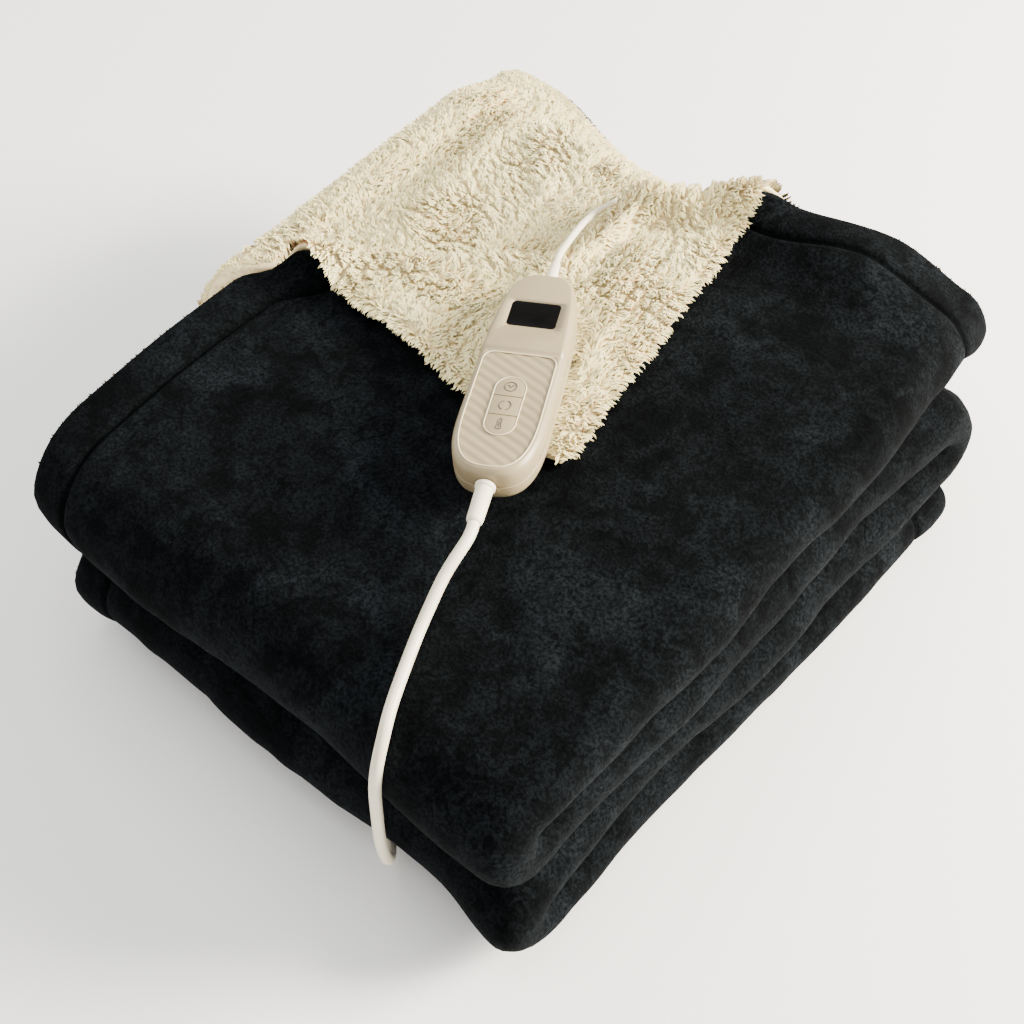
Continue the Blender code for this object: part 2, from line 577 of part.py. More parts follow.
def make_shells(place):
    """Lower and upper half of the handset, with pockets for the panel, the window and the keys."""
    shell = make_material("handset_cream", (0.72, 0.67, 0.56), 0.45)
    base = stack_rings([[(u, v, w) for u, v in handset_outline(inset)] for w, inset in BASE_ROWS])
    in_handset(add_mesh("handset_base", base, shell, 35), place)
    bm = stack_rings([[(u, v, w) for u, v in handset_outline(inset)] for w, inset in COVER_ROWS])
    for cut in NOSE_CUTS:
        bmesh.ops.bisect_plane(bm, geom=bm.verts[:] + bm.edges[:] + bm.faces[:], dist=1e-6,
                               plane_co=(cut - HANDSET_L / 2, 0, 0), plane_no=(1, 0, 0))
    low = COVER_ROWS[0][0]
    high = COVER_ROWS[-1][0]
    for v in bm.verts:
        nose = smooth(NOSE_CUTS[0], HANDSET_L, v.co.x + HANDSET_L / 2)
        v.co.z -= NOSE_FALL * nose * (v.co.z - low) / (high - low)
    bmesh.ops.triangulate(bm, faces=bm.faces[:])
    cover = in_handset(add_mesh("handset_cover", bm, shell, 35), place)
    above = high + 5 * MM
    window = plate(box_outline(WINDOW_SIZE[0] + 2 * SEAT, WINDOW_SIZE[1] + 2 * SEAT, WINDOW_CORNER + SEAT),
                   WINDOW_FLOOR, above)
    well = plate(stadium_outline(KEYS_SIZE[0] + 2 * KEY_GAP, KEYS_SIZE[1] + 2 * KEY_GAP), KEY_WELL, above)
    for name, bm, u in (("panel_pocket", panel_solid(0, PANEL_FLOOR, above), HANDSET_L / 2),
                        ("window_pocket", window, WINDOW_U), ("key_well", well, KEYS_U)):
        cut_away(cover, in_handset(add_mesh(name, bm, shell), place, u))


def make_fittings(place):
    """Grip panel with its slot for the keys, and the window of the display."""
    panel_color = make_material("panel_cream", (0.66, 0.61, 0.49), 0.5)
    panel = add_mesh("grip_panel", panel_solid(SEAT, PANEL_FLOOR + SEAT, PANEL_TOP), panel_color, 35)
    in_handset(panel, place)
    slot = plate(stadium_outline(KEYS_SIZE[0] + 2 * KEY_GAP, KEYS_SIZE[1] + 2 * KEY_GAP), KEY_WELL,
                 PANEL_TOP + 5 * MM)
    cut_away(panel, in_handset(add_mesh("panel_slot", slot, panel_color), place, KEYS_U))
    glass = make_material("window_black", (0.004, 0.004, 0.005), 0.08)
    window = plate(box_outline(*WINDOW_SIZE, WINDOW_CORNER), WINDOW_FLOOR + SEAT, WINDOW_TOP)
    in_handset(add_mesh("display_window", window, glass), place, WINDOW_U)


def make_keys(place):
    """Three keys that share one long round-ended outline; each is pressed straight down."""
    color = make_material("key_cream", (0.70, 0.65, 0.53), 0.5)
    third = KEYS_SIZE[0] / 3
    for k, name in enumerate(("key_heat", "key_power", "key_timer")):
        bm = plate(stadium_outline(*KEYS_SIZE), KEY_LOW - KEY_TOP, 0.0)
        low = (k - 1.5) * third
        if k > 0:
            clip(bm, low + KEY_GAP / 2, -1)
        if k < 2:
            clip(bm, low + third - KEY_GAP / 2, 1)
        middle = (k - 1) * third
        bmesh.ops.translate(bm, verts=bm.verts[:], vec=(-middle, 0, 0))
        in_handset(add_mesh(name, bm, color), place, KEYS_U + middle, KEY_TOP)


def round_rings(rows, sides=16):
    """Rings about the X axis from rows of distance and radius."""
    angles = [2 * math.pi * k / sides for k in range(sides)]
    return [[(x, r * math.cos(a), r * math.sin(a)) for a in angles] for x, r in rows]


def make_reliefs(place):
    """Moulded sleeves where the two cords leave the handset."""
    color = make_material("sleeve_cream", (0.76, 0.72, 0.62), 0.5)
    for name, rows, u, turn in (("relief_mains", MAINS_RELIEF, -SEAT, math.pi),
                                ("relief_lead", LEAD_RELIEF, HANDSET_L + SEAT, 0)):
        relief = add_mesh(name, stack_rings(round_rings(rows)), color, 35)
        in_handset(relief, place, u, RELIEF_W)
        relief.rotation_euler = (0, 0, turn)


def handset_point(u, w):
    """World place of a point on the handset's middle line."""
    turn = math.radians(HANDSET_TURN)
    out = u - HANDSET_L / 2
    return (HANDSET_AT[0] + out * math.cos(turn), HANDSET_AT[1] + out * math.sin(turn), HANDSET_Z + w)


def make_handset():
    place = bpy.data.objects.new("handset_place", None)
    place.location = (*HANDSET_AT, HANDSET_Z)
    place.rotation_euler = (0, 0, math.radians(HANDSET_TURN))
    bpy.context.scene.collection.objects.link(place)
    make_shells(place)
    make_fittings(place)
    make_keys(place)
    make_reliefs(place)


# ---- cords ----
def smooth_curve(route, step):
    """Points about step apart on a cubic spline through the route's points."""
    p = np.array(route)
    h = np.linalg.norm(np.diff(p, axis=0), axis=1)
    system = np.eye(len(p))
    right = np.zeros_like(p)
    for i in range(1, len(p) - 1):
        system[i, i - 1:i + 2] = h[i - 1], 2 * (h[i - 1] + h[i]), h[i]
        right[i] = 6 * ((p[i + 1] - p[i]) / h[i] - (p[i] - p[i - 1]) / h[i - 1])
    bend = np.linalg.solve(system, right)
    fine = []
    for i, width in enumerate(h):
        for f in np.arange(0, 1, 0.02):
            a = 1 - f
            fine.append(a * p[i] + f * p[i + 1]
                        + width ** 2 / 6 * ((a ** 3 - a) * bend[i] + (f ** 3 - f) * bend[i + 1]))
    fine = np.array(fine + [p[-1]])
    along = np.concatenate([[0], np.cumsum(np.linalg.norm(np.diff(fine, axis=0), axis=1))])
    places = np.linspace(0, along[-1], int(round(along[-1] / step)) + 1)
    return np.stack([np.interp(places, along, fine[:, k]) for k in range(3)], axis=1)


def make_tube(name, points, diameter, resolution, material):
    curve = bpy.data.curves.new(name, "CURVE")
    curve.dimensions = "3D"
    curve.bevel_depth = diameter / 2
    curve.bevel_resolution = resolution
    curve.use_fill_caps = True
    spline = curve.splines.new("POLY")
    spline.points.add(len(points) - 1)
    for point, co in zip(spline.points, points):
        point.co = (*co, 1)
    curve.materials.append(material)
    tube = bpy.data.objects.new(name, curve)
    bpy.context.scene.collection.objects.link(tube)


def waist(y):
    """1 under the hank's tie, 0 towards its ends."""
    return 1 - smooth(TIE_W / 2 + 2 * MM, WAIST_REACH, np.abs(y))


def make_hank(material):
    """Outer shape of the wound lead: an outline with round ends, drawn in under its tie."""
    half_run = HANK_RUN / 2
    stations = [(-half_run - HANK_HALF * math.cos(a), HANK_HALF * math.sin(a))
                for a in (math.radians(d) for d in (6, 25, 45, 68, 90))]
    stations += [(y * MM, HANK_HALF) for y in (-45, -32, -20, -7, 7, 20, 32, 45)]
    stations += [(-y, half) for y, half in stations[4::-1]]
    rings = []
    for y, half in stations:
        drawn = float(waist(y))
        half -= WAIST_IN * drawn
        low = (TIE_T + SEAT) * drawn
        edge = min(2 * MM, half / 2)
        section = [(half, edge), (half - edge, 0), (edge - half, 0), (-half, edge), (-half, HANK_H - edge),
                   (edge - half, HANK_H), (half - edge, HANK_H), (half, HANK_H - edge)]
        rings.append([(HANK_AT[0] + x, HANK_AT[1] + y, low + z) for x, z in section])
    add_mesh("cord_hank", stack_rings(rings), material, 50)
    strap = make_material("tie_black", (0.012, 0.012, 0.013), 0.7)
    inner_x = HANK_HALF - WAIST_IN + SEAT
    middle_z = TIE_T + SEAT + HANK_H / 2
    inner_z = HANK_H / 2 + SEAT
    loop = [box_outline(2 * (inner_x + grow), 2 * (inner_z + grow), 1.5 * MM + grow) for grow in (0, TIE_T)]
    bm = bmesh.new()
    rows = [[bm.verts.new((HANK_AT[0] + u, HANK_AT[1] + y, middle_z + v)) for u, v in loop[k]]
            for k, y in ((0, -TIE_W / 2), (1, -TIE_W / 2), (1, TIE_W / 2), (0, TIE_W / 2))]
    for a, b in zip(rows, rows[1:] + rows[:1]):
        for j in range(len(a)):
            k = (j + 1) % len(a)
            bm.faces.new((a[j], a[k], b[k], b[j]))
    add_mesh("hank_tie", bm, strap, 40)


def make_plug(material):
    """Flat two-pin plug, lying on its side face behind the hank."""
    angles = [2 * math.pi * k / 16 for k in range(16)]
    rings = []
    for along, half_x, half_z in PLUG_ROWS:
        section = [(math.copysign(abs(math.cos(a)) ** 0.55 * half_x, math.cos(a)),
                    math.copysign(abs(math.sin(a)) ** 0.55 * half_z, math.sin(a))) for a in angles]
        rings.append([(PLUG_X + x, PLUG_Y + along, PLUG_Z + z) for x, z in section])
    add_mesh("mains_plug", stack_rings(rings), material, 40)
    brass = make_material("pin_metal", (0.75, 0.73, 0.68), 0.3, 1.0)
    start = PLUG_Y + PLUG_ROWS[-1][0] + SEAT
    rows = ((0.0, PIN_D / 2), (PIN_L - 1.2 * MM, PIN_D / 2), (PIN_L, PIN_D / 2 - 1 * MM))
    for name, side in (("plug_pin_near", 1), ("plug_pin_far", -1)):
        pin = add_mesh(name, stack_rings(round_rings(rows, 12)), brass, 40)
        pin.location = (PLUG_X + side * PIN_SPREAD, start, PLUG_Z)
        pin.rotation_euler = (0, 0, math.pi / 2)


def make_cords():
    cream = make_material("cord_cream", (0.74, 0.70, 0.60), 0.4)
    out = -MAINS_RELIEF[-1][0] - SLEEVE_GAP
    start = [handset_point(out, RELIEF_W), handset_point(out - STRAIGHT_OUT, RELIEF_W)]
    outer_turn = HANK_BEND + TURN_PITCH
    round_end = math.sqrt(HANK_HALF ** 2 - (outer_turn - MAINS_D / 2) ** 2)
    hank_start = HANK_AT[1] - HANK_RUN / 2 - round_end
    end = [(HANK_AT[0] + outer_turn, hank_start - SEAT, MAINS_D / 2 + 0.2 * MM)]
    make_tube("mains_cord", smooth_curve(start + MAINS_ROUTE + end, 12 * MM), MAINS_D, 2, cream)
    out = HANDSET_L + LEAD_RELIEF[-1][0] + SLEEVE_GAP
    start = [handset_point(out, RELIEF_W), handset_point(out + STRAIGHT_OUT / 2, RELIEF_W)]
    make_tube("blanket_lead", smooth_curve(start + LEAD_ROUTE, 7 * MM), LEAD_D, 2, cream)
    make_hank(cream)
    make_tube("cord_tail", smooth_curve(TAIL_ROUTE, 8 * MM), MAINS_D, 2, cream)
    make_plug(cream)


def main():
    for old in list(bpy.data.objects):
        bpy.data.objects.remove(old)
    make_cloth()
    make_handset()
    make_cords()


main()
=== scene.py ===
"""Looks of the folded electric throw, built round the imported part.  Metres, +Z up, origin as in the part."""
import math

import bmesh
import bpy
import numpy as np
from mathutils import Matrix, Vector


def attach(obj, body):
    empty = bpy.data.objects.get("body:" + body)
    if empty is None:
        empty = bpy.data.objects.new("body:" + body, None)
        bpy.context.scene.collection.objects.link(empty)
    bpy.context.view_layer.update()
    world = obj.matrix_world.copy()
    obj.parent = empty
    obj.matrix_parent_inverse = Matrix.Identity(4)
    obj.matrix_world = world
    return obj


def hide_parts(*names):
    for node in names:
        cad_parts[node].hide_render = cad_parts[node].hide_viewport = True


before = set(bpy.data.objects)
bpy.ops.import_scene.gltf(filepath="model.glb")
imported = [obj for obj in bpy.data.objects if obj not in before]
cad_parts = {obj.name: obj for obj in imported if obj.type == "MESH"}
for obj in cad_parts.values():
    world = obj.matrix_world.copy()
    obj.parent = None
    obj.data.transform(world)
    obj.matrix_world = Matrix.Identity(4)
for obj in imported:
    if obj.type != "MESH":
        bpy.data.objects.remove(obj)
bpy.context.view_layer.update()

# ---- floor, light and camera ----
# A pale sheet that the throw lies on, lit as in a small daylight studio: one broad soft light overhead, a
# window on the right and a weaker one behind on the left.  The camera looks down on the front corner.
FLOOR_HALF = 6.0
PAPER_WHITE = (0.93, 0.93, 0.93, 1)
PAPER_ROUGHNESS = 0.9
DAYLIGHT = (1.0, 0.99, 0.955, 1)
DAYLIGHT_STRENGTH = 1.15
CAMERA_AT = (0.3877, -0.3677, 0.6710)
CAMERA_TILT = 0.6802
CAMERA_ROLL = -0.1165
CAMERA_TURN = 0.8213
SENSOR_WIDTH = 36
FOCAL_PX = 1572
IMAGE_PX = 1024


def set_out(name, data, material=None):
    """An object in the scene from a mesh, a curve, a lamp or a camera, with its material."""
    if material:
        data.materials.append(material)
    made = bpy.data.objects.new(name, data)
    bpy.context.scene.collection.objects.link(made)
    return made


floor_mesh = bpy.data.meshes.new("floor")
floor_mesh.from_pydata([(-FLOOR_HALF, -FLOOR_HALF, 0), (FLOOR_HALF, -FLOOR_HALF, 0),
                        (FLOOR_HALF, FLOOR_HALF, 0), (-FLOOR_HALF, FLOOR_HALF, 0)], [], [(0, 1, 2, 3)])
paper = bpy.data.materials.new("white_paper")
paper.use_nodes = True
paper.node_tree.nodes["Principled BSDF"].inputs["Base Color"].default_value = PAPER_WHITE
paper.node_tree.nodes["Principled BSDF"].inputs["Roughness"].default_value = PAPER_ROUGHNESS
set_out("floor", floor_mesh, paper)

world = bpy.data.worlds.new("daylight")
world.use_nodes = True
world.node_tree.nodes["Background"].inputs["Color"].default_value = DAYLIGHT
world.node_tree.nodes["Background"].inputs["Strength"].default_value = DAYLIGHT_STRENGTH
bpy.context.scene.world = world


def window_light(name, place, aim, size, power, color):
    """A soft oblong light at a place, turned towards what it is aimed at."""
    lamp = bpy.data.lights.new(name, "AREA")
    lamp.shape = "RECTANGLE"
    lamp.size, lamp.size_y = size
    lamp.energy = power
    lamp.color = color
    holder = set_out(name, lamp)
    holder.location = place
    holder.rotation_euler = (Vector(aim) - Vector(place)).to_track_quat("-Z", "Y").to_euler()


window_light("overhead", (-0.1, 0.2, 1.9), (0, 0, 0.1), (1.8, 1.4), 24, (1.0, 0.985, 0.94))
window_light("window_right", (1.35, 1.15, 0.80), (0, 0, 0.12), (0.7, 0.7), 250, (1.0, 0.93, 0.80))
window_light("window_left", (-1.6, -0.2, 0.9), (0, 0, 0.1), (0.9, 0.9), 12, (0.92, 0.96, 1.0))

camera_data = bpy.data.cameras.new("camera")
camera_data.sensor_width = SENSOR_WIDTH
camera_data.lens = FOCAL_PX / IMAGE_PX * camera_data.sensor_width
camera = set_out("camera", camera_data)
turn = Matrix.Rotation(CAMERA_TURN, 4, "Z") @ Matrix.Rotation(CAMERA_TILT, 4, "X")
camera.matrix_world = Matrix.Translation(CAMERA_AT) @ turn @ Matrix.Rotation(CAMERA_ROLL, 4, "Z")
bpy.context.scene.camera = camera


# ---- mains lead ----
# A round two-core flexible cord in a cream plastic sheath, 5.5 mm thick and about 1.92 m long.  It runs from
# the handset down the front, under the lowest fold and out at the hem side, where the rest is wound in a
# flat hank of three and a half turns under a woven strap; it is moulded to its sleeve and to the plug.
MM = 0.001
CORD_D = 5.5 * MM
HANDSET_AT = (24.6 * MM, -15.2 * MM)
HANDSET_Z = 132.6 * MM
HANDSET_TURN = math.radians(118.5)
HANDSET_L = 130 * MM
CORD_W = 10 * MM              # height of both leads over the handset's underside
MAINS_OUT = 21.4 * MM         # from the handset's end to the start of the mains lead
STRAIGHT_OUT = 6 * MM
MAINS_ROUTE = [(x * MM, y * MM, z * MM) for x, y, z in (
    (70.6, -104.2, 141.6), (72.1, -116, 138), (75.2, -129, 133.2), (79.3, -141.6, 129.7),
    (84.6, -154, 128.1), (90.2, -165.8, 127.3), (95.6, -176.6, 126), (100, -185.4, 122.2),
    (102.5, -192.8, 114), (103.2, -197.3, 102), (103, -199.4, 87), (102.1, -200.6, 70), (101, -201, 54),
    (99.2, -199.6, 38), (94.2, -195, 22), (84.2, -186.4, 9.4), (70.8, -177.5, 4.2), (53.8, -172.6, 3.1),
    (18.8, -171.6, 3), (-31.2, -171.3, 3), (-81.2, -171.3, 3), (-115.2, -171.1, 3), (-133.2, -167.7, 3),
    (-145.4, -158, 3), (-150.6, -143.3, 3), (-151.5, -120.3, 3))]
TAIL_ROUTE = [(x * MM, y * MM, z * MM) for x, y, z in (
    (-151.5, 64.4, 8.6), (-152.6, 77.7, 8.4), (-156.7, 89.7, 8), (-160.6, 101.7, 7.5), (-162.2, 113.7, 7.3))]
HANK_AT = (-176.3 * MM, -12.3 * MM)
HANK_RUN = 120 * MM
TURN_PITCH = 5.6 * MM
INNER_TURN = 19.2 * MM
OUTER_TURN = INNER_TURN + TURN_PITCH
LOW_TURN = CORD_D / 2 + 0.2 * MM
HIGH_TURN = LOW_TURN + TURN_PITCH
TIE_W = 9 * MM
TIE_T = 1.2 * MM
WAIST_IN = 15.8 * MM          # how far the tie draws each side of the hank in
WAIST_REACH = 52 * MM
SHEATH_CREAM = (0.78, 0.72, 0.56)
SHEATH_SOILED = (0.70, 0.63, 0.47)


def set_socket(socket, value):
    """Give a socket a constant; a colour of three numbers is taken as opaque."""
    socket.default_value = (*value, 1) if socket.type == "RGBA" else value


class Finish:
    """A socket of a material's nodes; arithmetic on it adds Math nodes."""

    def __init__(self, tree, socket):
        self.tree = tree
        self.socket = socket

    def node(self, kind, sockets, settings=None, out=0):
        """Add a node from its type, the values or links of its sockets, and its settings."""
        made = self.tree.nodes.new(kind)
        for key, value in (settings or {}).items():
            if key == "stops":
                for k, (place, color) in enumerate(value):
                    stops = made.color_ramp.elements
                    stop = stops[k] if k < 2 else stops.new(place)
                    stop.position = place
                    stop.color = (*color, 1)
            else:
                setattr(made, key, value)
        for key, value in sockets.items():
            if isinstance(value, Finish):
                self.tree.links.new(value.socket, made.inputs[key])
            elif value is not None:
                set_socket(made.inputs[key], value)
        return Finish(self.tree, made.outputs[out])

    def math(self, operation, *others):
        values = dict(enumerate((self,) + others))
        return self.node("ShaderNodeMath", values, {"operation": operation})

    def __add__(self, other):
        return self.math("ADD", other)

    def __sub__(self, other):
        return self.math("SUBTRACT", other)

    def __rsub__(self, other):
        return self.node("ShaderNodeMath", {0: other, 1: self}, {"operation": "SUBTRACT"})

    def __mul__(self, other):
        return self.math("MULTIPLY", other)

    def __rmul__(self, other):
        return self.math("MULTIPLY", other)

    def __radd__(self, other):
        return self.math("ADD", other)

    def clamp(self, low, high):
        return self.math("MAXIMUM", low).math("MINIMUM", high)

    def step(self, low, high):
        """A soft step, 0 at low and 1 at high, whichever of them is the greater."""
        return self.node("ShaderNodeMapRange", {"Value": self, "From Min": low, "From Max": high},
                         {"interpolation_type": "SMOOTHSTEP"})

    def ramp(self, *stops):
        return self.node("ShaderNodeValToRGB", {"Fac": self}, {"stops": stops})

    def noise(self, scale, detail=3.0, rough=0.5, twist=0.0):
        """Soft noise read at this place, with scale counted in lumps for each metre."""
        return self.node("ShaderNodeTexNoise", {"Vector": self, "Scale": scale, "Detail": detail,
                                                "Roughness": rough, "Distortion": twist})

    def stretch(self, x, y, z):
        """The same place with its axes scaled, so that what is read there is drawn out."""
        return self.node("ShaderNodeVectorMath", {0: self, 1: (x, y, z)}, {"operation": "MULTIPLY"})

    def blend(self, first, second):
        """first where this value is 0 and second where it is 1, as colours."""
        ends = {"Factor": self, 6: first, 7: second}
        return self.node("ShaderNodeMix", ends, {"data_type": "RGBA"}, 2)


def finish_for(name, **constants):
    """A Principled material with these constants, and the place on the surface that its nodes read."""
    material = bpy.data.materials.new(name)
    material.use_nodes = True
    shader = material.node_tree.nodes["Principled BSDF"]
    for key, value in constants.items():
        set_socket(shader.inputs[key.replace("_", " ")], value)
    start = Finish(material.node_tree, None)
    place = start.node("ShaderNodeTexCoord", {}, out=3)
    return material, shader, place


def feed(shader, key, value):
    """Link a value that varies over the surface to one of the shader's sockets."""
    value.tree.links.new(value.socket, shader.inputs[key])


def bump(height, strength, depth):
    """A Normal from a height in relief, depth metres deep at most."""
    return height.node("ShaderNodeBump", {"Height": height, "Strength": strength, "Distance": depth})


def sheath_finish():
    """Cream flexible plastic, faintly soiled in patches and not quite evenly glossy."""
    material, shader, place = finish_for("cord_sheath", Roughness=0.38, Specular_IOR_Level=0.5,
                                         Subsurface_Weight=0.08, Subsurface_Scale=0.004)
    dirt = place.noise(60, 4).step(0.35, 0.75)
    feed(shader, "Base Color", dirt.blend(SHEATH_CREAM, SHEATH_SOILED))
    feed(shader, "Roughness", place.noise(180, 3) * 0.2 + 0.30)
    feed(shader, "Normal", bump(place.noise(900, 3), 0.12, 0.0003))
    return material


SHEATH = sheath_finish()


def handset_point(u, w, v=0.0):
    """World place of a point u along the handset, v across it and w over its underside."""
    out = u - HANDSET_L / 2
    return (HANDSET_AT[0] + out * math.cos(HANDSET_TURN) - v * math.sin(HANDSET_TURN),
            HANDSET_AT[1] + out * math.sin(HANDSET_TURN) + v * math.cos(HANDSET_TURN), HANDSET_Z + w)


def soft_step(a, b, x):
    """0 at a and 1 at b with soft ends, whichever of them is the greater."""
    k = np.clip((np.asarray(x, dtype=float) - a) / (b - a), 0.0, 1.0)
    return k * k * (3 - 2 * k)


def smooth_curve(route, step):
    """Points about step apart on a cubic spline through the route's points."""
    p = np.array(route)
    h = np.linalg.norm(np.diff(p, axis=0), axis=1)
    system = np.eye(len(p))
    right = np.zeros_like(p)
    for i in range(1, len(p) - 1):
        system[i, i - 1:i + 2] = h[i - 1], 2 * (h[i - 1] + h[i]), h[i]
        right[i] = 6 * ((p[i + 1] - p[i]) / h[i] - (p[i] - p[i - 1]) / h[i - 1])
    bend = np.linalg.solve(system, right)
    fine = []
    for i, width in enumerate(h):
        for f in np.arange(0, 1, 0.02):
            a = 1 - f
            fine.append(a * p[i] + f * p[i + 1]
                        + width ** 2 / 6 * ((a ** 3 - a) * bend[i] + (f ** 3 - f) * bend[i + 1]))
    fine = np.array(fine + [p[-1]])
    along = np.concatenate([[0], np.cumsum(np.linalg.norm(np.diff(fine, axis=0), axis=1))])
    places = np.linspace(0, along[-1], int(round(along[-1] / step)) + 1)
    return np.stack([np.interp(places, along, fine[:, k]) for k in range(3)], axis=1)


def hank_turns():
    """The wound turns: three laps and a last run, each lap a run up, a bend, a run down and a bend."""
    half = HANK_RUN / 2
    low, high = LOW_TURN, HIGH_TURN
    # bend radius at the run up's start, after its far bend and after its near bend, and heights before and
    # after the near bend
    laps = ((OUTER_TURN, OUTER_TURN, INNER_TURN, low, low), (INNER_TURN, INNER_TURN, INNER_TURN, low, high),
            (INNER_TURN, OUTER_TURN, OUTER_TURN, high, high), (OUTER_TURN, None, None, high, high))
    turns = []
    for r0, r1, r2, z0, z1 in laps:
        turns += [(r0, y, z0) for y in np.linspace(-half, half, 16)[:-1]]
        if r1 is None:
            turns.append((r0, half, z0))
            break
        for a in np.linspace(0, math.pi, 12)[:-1]:
            r = r0 + (r1 - r0) * float(soft_step(0.3, math.pi - 0.3, a))
            turns.append((r * math.cos(a), half + r * math.sin(a), z0))
        turns += [(-r1, y, z0) for y in np.linspace(half, -half, 16)[:-1]]
        for a in np.linspace(0, math.pi, 12)[:-1]:
            r = r1 + (r2 - r1) * float(soft_step(math.pi / 2, math.pi - 0.1, a))
            z = z0 + (z1 - z0) * float(soft_step(0.1, math.pi / 2, a))
            turns.append((-r * math.cos(a), -half - r * math.sin(a), z))
    placed = []
    for x, y, z in turns:
        drawn = 1 - float(soft_step(TIE_W / 2 + 2 * MM, WAIST_REACH, abs(y)))
        x -= math.copysign(WAIST_IN * drawn, x) if abs(y) < WAIST_REACH else 0
        placed.append((HANK_AT[0] + x, HANK_AT[1] + y, z + (TIE_T + 0.2 * MM) * drawn))
    return placed


def round_line(name, runs, radius, material, resolution=6, closed=False):
    """A smooth round cord or bead along each run of points."""
    curve = bpy.data.curves.new(name, "CURVE")
    curve.dimensions = "3D"
    curve.bevel_depth = radius
    curve.bevel_resolution = resolution
    curve.use_fill_caps = True
    for run in runs:
        spline = curve.splines.new("POLY")
        spline.points.add(len(run) - 1)
        for point, co in zip(spline.points, run):
            point.co = (*co, 1)
        spline.use_cyclic_u = closed
        spline.use_smooth = True
    return set_out(name, curve, material)


def ring_stack(rings):
    """A closed solid through rings of (u, v, w) points, its two ends capped."""
    bm = bmesh.new()
    rows = [[bm.verts.new(p) for p in ring] for ring in rings]
    for low, high in zip(rows, rows[1:]):
        for j in range(len(low)):
            k = (j + 1) % len(low)
            bm.faces.new((low[j], low[k], high[k], high[j]))
    bm.faces.new(rows[0][::-1])
    bm.faces.new(rows[-1])
    return bm


def finished(name, bm, material, sharp=34.0):
    """An object from a mesh, shaded smooth but for its sharp edges."""
    bmesh.ops.recalc_face_normals(bm, faces=bm.faces[:])
    mesh = bpy.data.meshes.new(name)
    bm.to_mesh(mesh)
    bm.free()
    mesh.shade_smooth()
    mesh.set_sharp_from_angle(angle=math.radians(sharp))
    return set_out(name, mesh, material)


def fit(piece, slot, *nodes, body="root"):
    """Let a piece ride on a body, in the place of these nodes of the frame, which are hidden.  The slot is not
    used.
    """
    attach(piece, body)
    if nodes:
        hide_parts(*nodes)
    return piece


mains_start = [handset_point(-MAINS_OUT, CORD_W), handset_point(-MAINS_OUT - STRAIGHT_OUT, CORD_W)]
mains_points = smooth_curve(mains_start + MAINS_ROUTE + hank_turns()[1:] + TAIL_ROUTE[1:], 4 * MM)
mains_lead = round_line("mains_lead", [mains_points], CORD_D / 2, SHEATH)
fit(mains_lead, "cord", "mains_cord", "cord_hank", "cord_tail")

# ---- plug and strap ----
# A two-pin plug moulded on the lead's end, with a ringed neck, sloping shoulders and ribs at its sides for
# the fingers; its pins are nickel-plated brass.  A black woven hook-and-loop strap holds the hank together.
PLUG_AT = (-162.2 * MM, 114 * MM, 7.3 * MM)
NECK = [(0.8 * k * MM, r * MM, r * MM) for k, r in zip(range(1, 14), (3.9, 3.9, 3.3, 3.3) * 4)]
NICKEL_BRIGHT = (0.66, 0.63, 0.57)
NICKEL_DULL = (0.50, 0.47, 0.41)
STRAP_DARK = (0.002, 0.002, 0.0022)
STRAP_LIGHT = (0.020, 0.020, 0.022)
GRIP = [((20 + 0.7 * k) * MM, (12.6 if k % 3 == 1 else 12.0) * MM, 6.75 * MM) for k in range(15)]
PLUG_ROWS = ([(0.0, 3.0 * MM, 3.0 * MM)] + NECK
             + [(12 * MM, 4.9 * MM, 4.6 * MM), (14.5 * MM, 8.0 * MM, 5.4 * MM)]
             + [(17 * MM, 10.6 * MM, 6.1 * MM)] + GRIP
             + [(31.5 * MM, 12.7 * MM, 6.85 * MM), (34 * MM, 12.7 * MM, 6.85 * MM)]
             + [(35 * MM, 12.4 * MM, 6.5 * MM), (35.5 * MM, 11.8 * MM, 6.0 * MM)])
SQUARENESS = 0.6              # 1 is an ellipse, and less a squarer section
rings = []
for out, half_x, half_z in PLUG_ROWS:
    ring = []
    for a in np.linspace(0, 2 * math.pi, 56, endpoint=False):
        x = math.copysign(abs(math.cos(a)) ** SQUARENESS * half_x, math.cos(a))
        z = math.copysign(abs(math.sin(a)) ** SQUARENESS * half_z, math.sin(a))
        ring.append((PLUG_AT[0] + x, PLUG_AT[1] + out, PLUG_AT[2] + z))
    rings.append(ring)
plug = finished("moulded_plug", ring_stack(rings), SHEATH, 38)
fit(plug, "plug", "mains_plug")


def nickel_finish():
    """Bright nickel plating, finely scratched along and around the pins."""
    material, shader, where = finish_for("nickel_plate", Metallic=1.0)
    wear = where.noise(420, 4).step(0.35, 0.7)
    feed(shader, "Base Color", wear.blend(NICKEL_BRIGHT, NICKEL_DULL))
    feed(shader, "Roughness", where.stretch(6, 1, 1).noise(900, 3) * 0.25 + 0.14)
    return material


def strap_finish():
    """Black woven hook-and-loop strap."""
    material, shader, where = finish_for("woven_strap", Roughness=0.9, Specular_IOR_Level=0.15)
    warp = where.node("ShaderNodeTexWave", {"Vector": where, "Scale": 330.0}, {"bands_direction": "Y"}, 1)
    weft = where.node("ShaderNodeTexWave", {"Vector": where, "Scale": 330.0}, {"bands_direction": "X"}, 1)
    weave = (warp * weft) * 0.7 + where.noise(1800, 2) * 0.3
    feed(shader, "Base Color", weave.blend(STRAP_DARK, STRAP_LIGHT))
    feed(shader, "Normal", bump(weave, 0.6, 0.0006))
    return material


NICKEL = nickel_finish()
kept_nodes = {"plug_pin_near": NICKEL, "plug_pin_far": NICKEL, "hank_tie": strap_finish()}
for name, material in kept_nodes.items():
    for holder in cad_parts[name].material_slots:
        holder.material = material

